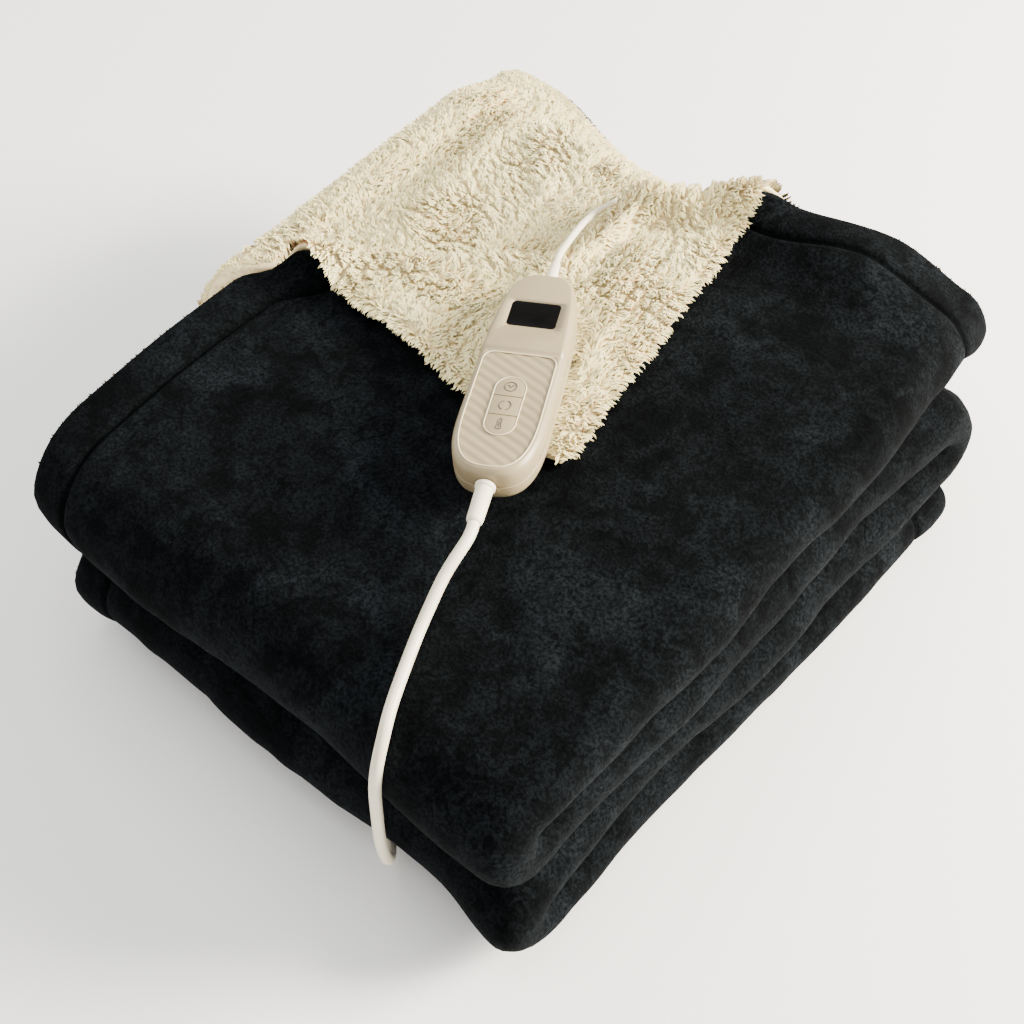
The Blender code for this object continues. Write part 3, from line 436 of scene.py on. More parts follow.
# ---- thin lead ----
# A limp low-voltage lead, 3.6 mm thick, from the handset's upper sleeve over the ridge of the turned corner
# and down into the fold behind it, where it joins the heating wires.
LEAD_D = 3.6 * MM
LEAD_OUT = HANDSET_L + 13.9 * MM
LEAD_ROUTE = [(x * MM, y * MM, z * MM) for x, y, z in (
    (-17.4, 63, 141.6), (-21.8, 74.5, 139), (-25.8, 88, 137), (-29.2, 103, 133), (-32.2, 119.2, 126.5),
    (-33.8, 134.7, 121.2), (-34.4, 148.7, 118.4))]
lead_start = [handset_point(LEAD_OUT, CORD_W), handset_point(LEAD_OUT + STRAIGHT_OUT / 2, CORD_W)]
lead_points = smooth_curve(lead_start + LEAD_ROUTE, 2 * MM)
thin_lead = round_line("thin_lead", [lead_points], LEAD_D / 2, SHEATH)
fit(thin_lead, "cord", "blanket_lead")

# ---- handset ----
# A slim moulded handset in two satin cream halves that meet in a parting line round its sides.  The upper
# half steps down to a ribbed grip panel and has a pocket for the display's dark window; both are pressed in.
HANDSET_W = 42 * MM
HANDSET_WIDEST = 36 * MM
LOW_END_POWER = 2.85
UP_END_POWER = 3.7
UP_END_TAPER = 0.03
OUTLINE_POINTS = 144
# height over the underside, and how far the outline is drawn in there
LOWER_ROWS = ((0.0, 2.9 * MM), (0.25 * MM, 2.2 * MM), (0.8 * MM, 1.3 * MM), (1.8 * MM, 0.6 * MM),
              (3.5 * MM, 0.1 * MM), (8.1 * MM, 0.0), (8.5 * MM, 0.25 * MM))
UPPER_ROWS = ((8.7 * MM, 0.25 * MM), (9.1 * MM, 0.0), (13 * MM, 0.1 * MM), (16 * MM, 0.35 * MM),
              (17.8 * MM, 0.8 * MM), (19 * MM, 1.5 * MM), (19.6 * MM, 2.05 * MM), (19.9 * MM, 2.5 * MM),
              (20 * MM, 2.9 * MM))
NOSE_PLACES = (108 * MM, HANDSET_L + 2 * MM)     # the face falls towards the end between these
NOSE_FALL = 3.5 * MM
STEP_PLACES = (72.8 * MM, 75.6 * MM)     # and steps down to the grip panel between these
STEP_DROP = 1.0 * MM
STEP_SIDES = (16 * MM, 19 * MM)          # heights between which the sides take up the step
PANEL_INSET = 3.4 * MM
PANEL_END = 72 * MM
PANEL_CORNER = 5 * MM
PANEL_LOW = 18.2 * MM
PANEL_TOP = 18.85 * MM
RIB_PITCH = 5.4 * MM
RIB_SLANT = 0.60
RIB_H = 0.36 * MM
ABOVE = 25 * MM                          # a height clear of the whole handset
WINDOW_U = 97.4 * MM
WINDOW_SIZE = (16.4 * MM, 23.4 * MM)
WINDOW_CORNER = 2 * MM
WINDOW_POCKET = (WINDOW_SIZE[0] + 0.5 * MM, WINDOW_SIZE[1] + 0.5 * MM)
POCKET_CORNER = 2.2 * MM
POCKET_LOW = 18.7 * MM
KEYS_U = 39.3 * MM
KEYS_SIZE = (34.6 * MM, 13.6 * MM)
KEY_GAP = 0.4 * MM
KEY_LOW = 17.4 * MM
KEY_TOP = 19.4 * MM
WELL_LOW = 16.4 * MM
END_STEPS = 16                           # facets in each quarter of the keys' and the well's round ends
handset_place = Matrix.Translation((*HANDSET_AT, HANDSET_Z)) @ Matrix.Rotation(HANDSET_TURN, 4, "Z")


def handset_outline(inset):
    """Points round the handset, drawn in by inset, as (u, v) from its mains end and its middle line."""
    points = []
    for k in range(OUTLINE_POINTS):
        a = 2 * math.pi * k / OUTLINE_POINTS
        up = math.cos(a) > 0
        power = 2 / (UP_END_POWER if up else LOW_END_POWER)
        reach = (HANDSET_L - HANDSET_WIDEST if up else HANDSET_WIDEST) - inset
        u = math.copysign(abs(math.cos(a)) ** power * reach, math.cos(a))
        v = math.copysign(abs(math.sin(a)) ** power * (HANDSET_W / 2 - inset), math.sin(a))
        points.append((u + HANDSET_WIDEST, v * (1 - UP_END_TAPER * max(u, 0) / reach)))
    return points


def round_box(length, width, corner, segments=8):
    """Points round a rectangle with round corners, as (u, v) from its middle."""
    points = []
    for quarter in range(4):
        sign_u, sign_v = (1 if quarter in (0, 3) else -1), (1 if quarter in (0, 1) else -1)
        for k in range(segments + 1):
            a = math.pi / 2 * (quarter + k / segments)
            points.append((sign_u * (length / 2 - corner) + corner * math.cos(a),
                           sign_v * (width / 2 - corner) + corner * math.sin(a)))
    return points


def prism(points, low, high, u=0.0):
    return ring_stack([[(u + a, b, w) for a, b in points] for w in (low, high)])


def moulded(name, bm, material, sharp=34.0):
    """An object from a mesh made in the handset's own u, v and w, set in its place."""
    from_end = Matrix.Translation((-HANDSET_L / 2, 0, 0))
    bmesh.ops.transform(bm, matrix=handset_place @ from_end, verts=bm.verts[:])
    return finished(name, bm, material, sharp)


def cut(piece, *cutters, operation="DIFFERENCE"):
    """Cut the cutters out of a piece, or keep what lies inside them, and drop them."""
    for cutter in cutters:
        boolean = piece.modifiers.new("cut", "BOOLEAN")
        boolean.operation, boolean.solver, boolean.object = operation, "EXACT", cutter
    cut_mesh = bpy.data.meshes.new_from_object(piece.evaluated_get(bpy.context.evaluated_depsgraph_get()))
    piece.modifiers.clear()
    solid = bmesh.new()
    solid.from_mesh(cut_mesh)
    bmesh.ops.triangulate(solid, faces=[f for f in solid.faces if len(f.verts) > 4])
    solid.to_mesh(cut_mesh)
    solid.free()
    piece.data = cut_mesh
    for cutter in cutters:
        bpy.data.objects.remove(cutter)


def round_edges(piece, width):
    """Break the sharp edges of a piece with a small round."""
    bevel = piece.modifiers.new("edges", "BEVEL")
    bevel.width, bevel.segments, bevel.limit_method, bevel.angle_limit = width, 2, "ANGLE", math.radians(40)
    bevel.harden_normals = False


def plastic(name, light, dark, rough):
    """Satin moulded plastic, a little mottled, with a fine spark-eroded grain."""
    material, shader, where = finish_for(name, Specular_IOR_Level=0.45, Subsurface_Weight=0.06,
                                         Subsurface_Scale=0.003)
    mottle = where.noise(55, 4).step(0.3, 0.75)
    feed(shader, "Base Color", mottle.blend(light, dark))
    feed(shader, "Roughness", where.noise(260, 3) * 0.14 + rough)
    feed(shader, "Normal", bump(where.noise(2600, 2), 0.10, 0.0002))
    return material


SHELL = plastic("handset_shell", (0.31, 0.247, 0.146), (0.285, 0.226, 0.13), 0.33)
PANEL = plastic("grip_panel", (0.30, 0.237, 0.136), (0.275, 0.216, 0.122), 0.44)
KEYS = plastic("key_caps", (0.305, 0.242, 0.14), (0.282, 0.222, 0.127), 0.42)
# the rims' beads are the shell's plastic painted about twice as light, a painted highlight along them
RIM_HIGHLIGHT = plastic("panel_rims_highlight", (0.62, 0.53, 0.35), (0.58, 0.49, 0.32), 0.32)

lower = moulded("shell_lower", ring_stack([[(u, v, w) for u, v in handset_outline(inset)]
                                           for w, inset in LOWER_ROWS]), SHELL)
fit(lower, "handset_shell", "handset_base")


def face_fall(u, w):
    """How far the upper half's face lies below its full height at u, felt less further down its sides."""
    low, high = UPPER_ROWS[0][0], UPPER_ROWS[-1][0]
    nose = NOSE_FALL * float(soft_step(*NOSE_PLACES, u))
    step = STEP_DROP * (1 - float(soft_step(*STEP_PLACES, u)))
    return nose * (w - low) / (high - low) + step * float(soft_step(*STEP_SIDES, w))


def panel_outline(gap):
    """The grip panel's outline, drawn in by gap: the handset's own, with a straight end and round corners."""
    end, r = PANEL_END - gap, PANEL_CORNER - gap
    side = [p for p in handset_outline(PANEL_INSET + gap) if p[0] < end - r]
    turns = [math.radians(a) for a in range(0, 91, 9)]
    near, far = side[-1][1] + r, side[0][1] - r
    return (side + [(end - r + r * math.sin(a), near - r * math.cos(a)) for a in turns]
            + [(end - r + r * math.cos(a), far + r * math.sin(a)) for a in turns])


upper_mesh = ring_stack([[(u, v, w) for u, v in handset_outline(inset)] for w, inset in UPPER_ROWS])
nose_planes = np.linspace(NOSE_PLACES[0], HANDSET_L - 4 * MM, 10)
for plane in np.concatenate([np.linspace(*STEP_PLACES, 8), nose_planes]):
    bmesh.ops.bisect_plane(upper_mesh, geom=upper_mesh.verts[:] + upper_mesh.edges[:] + upper_mesh.faces[:],
                           dist=1e-6, plane_co=(plane, 0, 0), plane_no=(1, 0, 0))
for vert in upper_mesh.verts:
    vert.co.z -= face_fall(vert.co.x, vert.co.z)
upper = moulded("shell_upper", upper_mesh, SHELL)
key_well = round_box(KEYS_SIZE[0] + 2 * KEY_GAP, KEYS_SIZE[1] + 2 * KEY_GAP, KEYS_SIZE[1] / 2 + KEY_GAP,
                     END_STEPS)
pocket = round_box(*WINDOW_POCKET, POCKET_CORNER)
cut(upper, moulded("panel_pocket", prism(panel_outline(0), PANEL_LOW, ABOVE), SHELL),
    moulded("window_pocket", prism(pocket, POCKET_LOW, ABOVE, WINDOW_U), SHELL),
    moulded("key_well", prism(key_well, WELL_LOW, ABOVE, KEYS_U), SHELL))
fit(upper, "handset_shell", "handset_cover")

# ---- grip panel ----
# A separate satin moulding with slanting ribs, pressed into the cover's pocket under a thin raised rim.  The
# keys come up through its long slot, which has a rim of its own.
PANEL_GAP = 0.3 * MM          # all round, inside its pocket
PANEL_RIM_R = 0.36 * MM
KEY_RIM_R = 0.34 * MM
RIB_LINES_U = np.linspace(2 * MM, 73 * MM, 120)
RIB_LINES_V = np.linspace(-19 * MM, 19 * MM, 64)
bm = bmesh.new()
rows = []
for u in RIB_LINES_U:
    row = []
    for v in RIB_LINES_V:
        wave = 0.5 + 0.5 * math.cos((u - RIB_SLANT * v) / RIB_PITCH * 2 * math.pi)
        row.append(bm.verts.new((u, v, PANEL_TOP + RIB_H * (wave - 0.5))))
    rows.append(row)
for low_row, high_row in zip(rows, rows[1:]):
    for j in range(len(low_row) - 1):
        bm.faces.new((low_row[j], high_row[j], high_row[j + 1], low_row[j + 1]))
skirt = [e for e in bm.edges if e.is_boundary]
pulled = bmesh.ops.extrude_edge_only(bm, edges=skirt)["geom"]
for vert in (g for g in pulled if isinstance(g, bmesh.types.BMVert)):
    vert.co.z = PANEL_LOW + 0.2 * MM
bmesh.ops.holes_fill(bm, edges=[e for e in bm.edges if e.is_boundary])
panel = moulded("ribbed_panel", bm, PANEL)
panel_edge = moulded("panel_edge", prism(panel_outline(PANEL_GAP), PANEL_LOW - 1 * MM, ABOVE), PANEL)
cut(panel, panel_edge, operation="INTERSECT")
cut(panel, moulded("panel_slot", prism(key_well, WELL_LOW, ABOVE, KEYS_U), PANEL))
fit(panel, "grip_panel", "grip_panel")


def bead(name, runs, radius, material, closed=True, body="root", slot="grip_panel"):
    """Thin raised lines through runs of (u, v, w) points of the handset."""
    placed = [[handset_point(u, w, v) for u, v, w in run] for run in runs]
    return fit(round_line(name, placed, radius, material, 3, closed), slot, body=body)


# raised rims round the panel and the key slot, in the lighter plastic that paints a highlight along them
bead("panel_rim", [[(u, v, PANEL_TOP + 0.25 * MM) for u, v in panel_outline(0)]], PANEL_RIM_R, RIM_HIGHLIGHT)
bead("key_rim", [[(KEYS_U + a, b, PANEL_TOP + 0.3 * MM) for a, b in key_well]], KEY_RIM_R, RIM_HIGHLIGHT)

# ---- display window ----
# A pane of dark smoked acrylic over the display, its upper edge a little rounded, set flush in its pocket in
# the cover; the digits behind it are unlit.
SMOKE_DARK = (0.0007, 0.0007, 0.0008)
SMOKE_LIGHT = (0.0016, 0.0014, 0.0014)
# height over the handset's underside, and how far the pane is drawn in there
PANE_ROWS = ((18.9 * MM, 0.0), (19.7 * MM, 0.0), (19.85 * MM, 0.08 * MM), (19.9 * MM, 0.22 * MM))
glass, glass_shader, pane = finish_for("smoked_pane", Specular_IOR_Level=0.06)
feed(glass_shader, "Base Color", pane.noise(90, 2).step(0.3, 0.7).blend(SMOKE_DARK, SMOKE_LIGHT))
feed(glass_shader, "Roughness", pane.noise(300, 4).step(0.45, 0.8) * 0.10 + 0.22)
pane_rings = []
for w, d in PANE_ROWS:
    pane_edge = round_box(WINDOW_SIZE[0] - 2 * d, WINDOW_SIZE[1] - 2 * d, WINDOW_CORNER - d)
    pane_rings.append([(WINDOW_U + a, b, w) for a, b in pane_edge])
window = moulded("window_pane", ring_stack(pane_rings), glass)
fit(window, "display_window", "display_window")

# ---- keys ----
# Three keys that share one long round-ended outline: timer at the top, power in the middle and heat at the
# mains end.  Each is a satin cap with a printed mark and moves straight down about half a millimetre.
KEY_THIRD = KEYS_SIZE[0] / 3
KEY_EDGE_R = 0.12 * MM
MARK_R = 2.75 * MM
MARK_LINE = 0.27 * MM
INK_DARK = (0.06, 0.048, 0.034)
INK_WORN = (0.12, 0.10, 0.072)
# height over the handset's underside, and how far the keys are drawn in there
KEY_ROWS = ((KEY_LOW, 0.0), (KEY_TOP - 0.35 * MM, 0.0), (KEY_TOP - 0.1 * MM, 0.12 * MM), (KEY_TOP, 0.4 * MM))
ink, ink_shader, spot = finish_for("printed_marks", Roughness=0.6, Specular_IOR_Level=0.3)
feed(ink_shader, "Base Color", spot.noise(700, 3).step(0.3, 0.7).blend(INK_DARK, INK_WORN))


def arc(radius, start, end, u=0.0, v=0.0, count=40):
    """Points (u, v) round a circle, angles in degrees from +u towards +v."""
    angles = np.radians(np.linspace(start, end, count))
    return [(u + radius * math.cos(a), v + radius * math.sin(a)) for a in angles]


MARKS = {
    "timer": [arc(MARK_R, 0, 360), [(0.9 * MM, 1.2 * MM), (-0.5 * MM, 0), (1.1 * MM, -1.4 * MM)]],
    "power": [arc(MARK_R, 20, 160), arc(MARK_R, 200, 340)],
    "heat": [arc(1.25 * MM, 40, 320, -1.6 * MM) + [(2.6 * MM, -0.75 * MM)],
             [(-0.65 * MM, 0.8 * MM), (2.6 * MM, 0.75 * MM)] + arc(0.75 * MM, 90, -90, 2.6 * MM, 0, 12),
             [(-1.4 * MM, 0), (1.6 * MM, 0)]]}
for k, name in enumerate(("heat", "power", "timer")):
    middle = KEYS_U + (k - 1) * KEY_THIRD
    bm = ring_stack([[(KEYS_U + a, b, w) for a, b in round_box(KEYS_SIZE[0] - 2 * d, KEYS_SIZE[1] - 2 * d,
                                                               KEYS_SIZE[1] / 2 - d, END_STEPS)]
                     for w, d in KEY_ROWS])
    for side in (-1, 1):
        if k + side in (0, 1, 2):
            sliced = bmesh.ops.bisect_plane(bm, geom=bm.verts[:] + bm.edges[:] + bm.faces[:], dist=1e-7,
                                            plane_co=(middle + side * (KEY_THIRD / 2 - KEY_GAP / 2), 0, 0),
                                            plane_no=(side, 0, 0), clear_outer=True)
            opened = [e for e in sliced["geom_cut"] if isinstance(e, bmesh.types.BMEdge)]
            bmesh.ops.holes_fill(bm, edges=opened)
    key = moulded("cap_" + name, bm, KEYS)
    round_edges(key, KEY_EDGE_R)
    fit(key, "keys", "key_" + name, body=name + "_key")
    for n, run in enumerate(MARKS[name]):
        bead("mark_%s_%d" % (name, n), [[(middle + a, b, KEY_TOP) for a, b in run]], MARK_LINE, ink, False,
             name + "_key", "keys")

# ---- sleeves ----
# Moulded bend reliefs, part of the leads' own sheath: a stout one with a collar at the mains end and a slim
# tapered one at the blanket end.
SLEEVE_GAP = 0.3 * MM
RUBBER_CREAM = (0.80, 0.735, 0.57)
RUBBER_SOILED = (0.72, 0.65, 0.48)
SPECK_BROWN = (0.10, 0.075, 0.05)
# distance out from the sleeve's start, and radius
MAINS_SLEEVE = ((0.0, 4.3 * MM), (0.3 * MM, 4.7 * MM), (1.8 * MM, 4.7 * MM), (2.2 * MM, 4.45 * MM),
                (2.6 * MM, 4.0 * MM), (3.2 * MM, 4.05 * MM), (10 * MM, 3.95 * MM), (19.2 * MM, 3.8 * MM),
                (20.4 * MM, 3.6 * MM), (21.2 * MM, 3.2 * MM), (21.5 * MM, 2.85 * MM))
LEAD_SLEEVE = ((0.0, 3.0 * MM), (0.4 * MM, 3.2 * MM), (3 * MM, 3.1 * MM), (8 * MM, 2.7 * MM),
               (12.6 * MM, 2.4 * MM), (13.6 * MM, 2.2 * MM), (14.0 * MM, 1.9 * MM))


def sleeve_finish():
    """Soft cream rubber with a few dark specks caught in it."""
    material, shader, where = finish_for("sleeve_rubber", Specular_IOR_Level=0.4, Subsurface_Weight=0.08,
                                         Subsurface_Scale=0.003)
    speck = where.node("ShaderNodeTexVoronoi", {"Vector": where, "Scale": 190.0}, out=0).step(0.16, 0.10)
    few = where.noise(75, 1).step(0.56, 0.60)
    shade = where.noise(60, 3).step(0.3, 0.7).blend(RUBBER_CREAM, RUBBER_SOILED)
    feed(shader, "Base Color", (speck * few).blend(shade, SPECK_BROWN))
    feed(shader, "Roughness", where.noise(200, 3) * 0.2 + 0.36)
    feed(shader, "Normal", bump(where.noise(1400, 2), 0.10, 0.0003))
    return material


RUBBER = sleeve_finish()
for name, node, rows, way, end in (("sleeve_mains", "relief_mains", MAINS_SLEEVE, -1, -SLEEVE_GAP),
                                   ("sleeve_lead", "relief_lead", LEAD_SLEEVE, 1, HANDSET_L + SLEEVE_GAP)):
    rings = [[(end + way * out, r * math.cos(a), CORD_W + r * math.sin(a))
              for a in np.linspace(0, 2 * math.pi, 40, endpoint=False)] for out, r in rows]
    sleeve = moulded(name, ring_stack(rings), RUBBER, 50)
    fit(sleeve, "sleeves", node)

# ---- folded cloth ----
# Two panels of cloth sewn together round their edge: short black velvet pile outside and deep cream fleece
# inside.  The throw is folded in quarters across its width, then back and forth in four packets, and one
# corner of the top layer is turned back.  A hem is stitched 26 mm in from every edge.
VELVET_T = 2.5 * MM
FLEECE_T = 4.0 * MM
BOND_GAP = 0.3 * MM
LAYER_GAP = 1.0 * MM
PACKET_GAP = 1.2 * MM
VELVET_IN = BOND_GAP / 2
VELVET_OUT = VELVET_IN + VELVET_T
FLEECE_IN = BOND_GAP / 2
FLEECE_OUT = FLEECE_IN + FLEECE_T
FOLDED_X = 325 * MM
FOLDED_Y = 382 * MM
HEM = 26 * MM
MIDDLE = (153.7 * MM, 193.3 * MM)      # the origin, in the cloth's x from the hem side and y from the front

LAYER_4 = VELVET_OUT
LAYER_3 = LAYER_4 + 2 * FLEECE_OUT + LAYER_GAP
LAYER_2 = LAYER_3 + 2 * VELVET_OUT + LAYER_GAP
LAYER_1 = LAYER_2 + 2 * FLEECE_OUT + LAYER_GAP
PACKET_T = LAYER_1 + VELVET_OUT
PITCH = PACKET_T + PACKET_GAP
STACK_H = 3 * PITCH + PACKET_T

OUTER_R = (LAYER_1 - LAYER_4) / 2
INNER_R = (LAYER_2 - LAYER_3) / 2
HEM_SIDE_R = (LAYER_3 - LAYER_4) / 2
FOLD_X = FOLDED_X - OUTER_R - VELVET_OUT
HEM_SIDE_X = HEM_SIDE_R + VELVET_OUT + 2 * MM
BULGE_R = PACKET_T + PACKET_GAP / 2
BULGE_Y = BULGE_R
BACK_Y = FOLDED_Y - 28 * MM - BULGE_R
END_Y = FOLDED_Y - 48 * MM

# the turned corner; tables hold the place along it and a width or shift there
CREASE_START = (0.0, 166 * MM)
CREASE_END = (196 * MM, FOLDED_Y)
CREASE_TURN = 14 * MM
CREASE_R = 4.0 * MM
CREASE_PUFF = ((0.0, 7.0 * MM), (0.22, 0.5 * MM), (0.50, 0.5 * MM), (0.60, 1.0 * MM), (0.73, 6.0 * MM),
               (0.86, 3.0 * MM), (1.0, 2.5 * MM))
CREASE_WANDER = ((0.0, -4 * MM), (0.12, -8 * MM), (0.37, -30 * MM), (0.54, -38 * MM), (0.71, -5 * MM),
                 (0.81, -9 * MM), (1.0, -13 * MM))
WANDER_REACH = 80 * MM
FLAP_SETTLE = 1.6 * MM
FLAP_FALL = ((0.0, 34 * MM), (0.25, 17 * MM))
FLAP_STRETCH = 1.25
FLAP_REACH = 190 * MM
FLAP_SWING = 24 * MM
PEEK = ((0.0, 0.0), (0.20, 0.0), (0.38, 22 * MM), (1.0, 23 * MM))
OPEN_END = ((0.0, 9 * MM), (0.37, -26 * MM), (0.65, -26 * MM), (0.90, 0.0))
TOP_END = ((0.30, 0.0), (0.58, -12 * MM), (0.80, 1 * MM), (1.0, 0.0))
END_REACH = 150 * MM

# settling of the stack
TUNNEL_H = 9 * MM
TUNNEL_DEPTH = 35 * MM
TUNNEL_FADE = 60 * MM
OVERHANG_DROOP = 11 * MM
EDGE_DROOP = 3 * MM
HEM_SIDE_LENGTH = ((0.0, 16 * MM), (0.12, 7 * MM), (0.40, 3 * MM), (1.0, 0.0))
HEM_SIDE_HEIGHT = ((0.0, 10 * MM), (0.25, 4 * MM), (0.46, 6 * MM), (0.60, 16 * MM), (0.86, 0.0))
ROLL_END = ((0.0, 3 * MM), (0.35, 5 * MM), (0.50, 5 * MM), (0.66, 1 * MM), (0.76, -10 * MM), (0.95, -16 * MM))
FRONT_LOW = ((0.0, -3 * MM), (0.15, -2 * MM), (0.35, 1 * MM), (0.60, 0.0), (0.80, 1 * MM), (0.96, -4 * MM))
ROLL_LOW = ((0.0, 1 * MM), (0.22, -2 * MM), (0.50, 2 * MM), (0.80, 3 * MM), (1.0, 0.0))
TOP_LAYER = ((3 * PITCH + LAYER_2 + FLEECE_OUT) / STACK_H, (3 * PITCH + LAYER_1 - FLEECE_OUT) / STACK_H)
OPEN_LIFT = 20 * MM
HEM_LIFT = 5 * MM
SHOULDER_IN = 15 * MM         # how far the ridge's start stands in from the hem side
SIDE_REACH = 90 * MM          # how far in from the rolled side and the front their unevenness reaches
# height of a wave along a side, its length over 2 pi, and how it turns with the height in the stack
ROLL_WAVES = ((1.6 * MM, 31 * MM, 5.2), (0.9 * MM, 17 * MM, -8.0))
BULGE_WAVE = (2.5 * MM, 36 * MM, 4.0)
DROOP_REACH = 60 * MM
SWING_FROM = 230 * MM
LOW_PACKETS = (0.55, 0.30)    # heights above and below which a packet counts as an upper or a lower one
# places between which the lifts grow, stay and fade
OPEN_X = (120 * MM, 205 * MM, 220 * MM, 325 * MM)
OPEN_Y = (FOLDED_Y - 75 * MM, FOLDED_Y)
HEM_X = (48 * MM, 0.0)
HEM_Y = (20 * MM, 110 * MM, 150 * MM, 210 * MM)
SHOULDER_X = (85 * MM, 10 * MM)
SHOULDER_Y = (150 * MM, 178 * MM, 195 * MM, 240 * MM)

# the flat cloth: s across the width from the top layer's hem, t along the length
RUN_4 = FOLD_X - HEM_SIDE_X
RUN_2 = FOLD_X + 10 * MM
S_OUTER = FOLD_X
S_4 = S_OUTER + math.pi * OUTER_R
S_SIDE = S_4 + RUN_4
S_3 = S_SIDE + math.pi * HEM_SIDE_R
S_INNER = S_3 + RUN_4
S_2 = S_INNER + math.pi * INNER_R
S_END = S_2 + RUN_2
TURN_T = math.pi * PACKET_T / 2
T_BULGE_1 = FOLDED_Y - BULGE_Y
T_2 = T_BULGE_1 + TURN_T
T_BACK = T_2 + BACK_Y - BULGE_Y
T_3 = T_BACK + TURN_T
T_BULGE_2 = T_3 + BACK_Y - BULGE_Y
T_4 = T_BULGE_2 + TURN_T
T_END = T_4 + END_Y - BULGE_Y
CREASE_LEN = math.dist(CREASE_START, CREASE_END)
ALONG_X = (CREASE_END[0] - CREASE_START[0]) / CREASE_LEN
ALONG_Y = (CREASE_END[1] - CREASE_START[1]) / CREASE_LEN


def read_table(table, x):
    """Soft steps between the rows of a two-column table."""
    x = np.asarray(x, dtype=float)
    out = np.full(x.shape, table[0][1], dtype=float)
    for (x0, y0), (x1, y1) in zip(table, table[1:]):
        out = out + (y1 - y0) * soft_step(x0, x1, x)
    return out


def lumps(a, b, size, seed):
    """Smooth unevenness between -1 and 1 over two lengths, with lumps about size apart."""
    table = np.random.default_rng(seed).uniform(-1, 1, (256, 256))
    u, v = np.asarray(a) / size + 100, np.asarray(b) / size + 100
    i, j = np.floor(u).astype(int), np.floor(v).astype(int)
    f, g = u - i, v - j
    f, g = f * f * (3 - 2 * f), g * g * (3 - 2 * g)
    i, j = i % 255, j % 255
    low = table[i, j] * (1 - f) + table[i + 1, j] * f
    high = table[i, j + 1] * (1 - f) + table[i + 1, j + 1] * f
    return low * (1 - g) + high * g


def band_section(s, n, t):
    """Across the width: place x and height m in the packet of the cloth at s, n outwards from its middle."""
    peek = read_table(PEEK, 1 - t / T_BULGE_1) * (t < T_BULGE_1)
    stretch = (FOLD_X + np.where(t < T_BULGE_1, peek, 0.0)) / RUN_2
    out_angle = np.clip((s - S_OUTER) / OUTER_R, 0, math.pi)
    side_angle = np.clip((s - S_SIDE) / HEM_SIDE_R, 0, math.pi)
    in_angle = np.clip((s - S_INNER) / INNER_R, 0, math.pi)
    part = [s < S_OUTER, s < S_4, s < S_SIDE, s < S_3, s < S_INNER, s < S_2]
    x = np.select(part, [s, FOLD_X + (OUTER_R + n) * np.sin(out_angle), FOLD_X - (s - S_4),
                         HEM_SIDE_X - (HEM_SIDE_R + n) * np.sin(side_angle), HEM_SIDE_X + (s - S_3),
                         FOLD_X + (INNER_R - n) * np.sin(in_angle)], FOLD_X - (s - S_2) * stretch)
    m = np.select(part, [LAYER_1 + n, (LAYER_1 + LAYER_4) / 2 + (OUTER_R + n) * np.cos(out_angle),
                         LAYER_4 - n,
                         (LAYER_3 + LAYER_4) / 2 - (HEM_SIDE_R + n) * np.cos(side_angle), LAYER_3 + n,
                         (LAYER_2 + LAYER_3) / 2 - (INNER_R - n) * np.cos(in_angle)], LAYER_2 - n)
    return x, m


def band_path(m, t):
    """Along the length: place y and height z of the band at t, m above its first packet's underside."""
    angle_1 = np.clip((t - T_BULGE_1) / TURN_T, 0, 1) * math.pi
    angle_b = np.clip((t - T_BACK) / TURN_T, 0, 1) * math.pi
    angle_2 = np.clip((t - T_BULGE_2) / TURN_T, 0, 1) * math.pi
    r_out = m + PACKET_GAP / 2
    r_back = PACKET_T - m + PACKET_GAP / 2
    part = [t < T_BULGE_1, t < T_2, t < T_BACK, t < T_3, t < T_BULGE_2, t < T_4]
    y = np.select(part, [FOLDED_Y - t, BULGE_Y - r_out * np.sin(angle_1), BULGE_Y + (t - T_2),
                         BACK_Y + r_back * np.sin(angle_b), BACK_Y - (t - T_3),
                         BULGE_Y - r_out * np.sin(angle_2)], BULGE_Y + (t - T_4))
    z = np.select(part, [3 * PITCH + m, 3 * PITCH - PACKET_GAP / 2 + r_out * np.cos(angle_1),
                         2 * PITCH + PACKET_T - m, 2 * PITCH - PACKET_GAP / 2 + r_back * np.cos(angle_b),
                         PITCH + m, PITCH - PACKET_GAP / 2 + r_out * np.cos(angle_2)], PACKET_T - m)
    return y, z


def crease_place(x, y):
    """Share of the way along the crease, and distance past it towards the corner."""
    from_x, from_y = x - CREASE_START[0], y - CREASE_START[1]
    return (from_x * ALONG_X + from_y * ALONG_Y) / CREASE_LEN, from_y * ALONG_X - from_x * ALONG_Y


def turn_corner(x, y, n):
    """Bend the top layer about the crease: its new x and y, and its height over the layer's middle plane."""
    along, beyond = crease_place(x, y)
    radius = CREASE_R + read_table(CREASE_PUFF, along)
    angle = np.clip(beyond / CREASE_TURN, 0, 1) * math.pi
    past = np.clip(beyond - CREASE_TURN, 0, None) * FLAP_STRETCH
    low = 2 * CREASE_R - FLAP_SETTLE
    flat = np.where(beyond < 0, beyond, (radius - n) * np.sin(angle) - past)
    rise = radius - (radius - n) * np.cos(angle)
    fall = soft_step(0, read_table(FLAP_FALL, along), past)
    rise = np.where(past > 0, 2 * radius + (low - 2 * radius) * fall - n, rise)
    wander = read_table(CREASE_WANDER, along) * (1 - soft_step(0, WANDER_REACH, np.abs(flat)))
    across = flat + wander
    shift = along * CREASE_LEN - FLAP_SWING * past / FLAP_REACH
    return (CREASE_START[0] + shift * ALONG_X - across * ALONG_Y,
            CREASE_START[1] + shift * ALONG_Y + across * ALONG_X, rise)


def hill(places, x):
    """0 before the first of four places, 1 between the middle two and 0 past the last, with soft steps."""
    return soft_step(places[0], places[1], x) * soft_step(places[3], places[2], x)


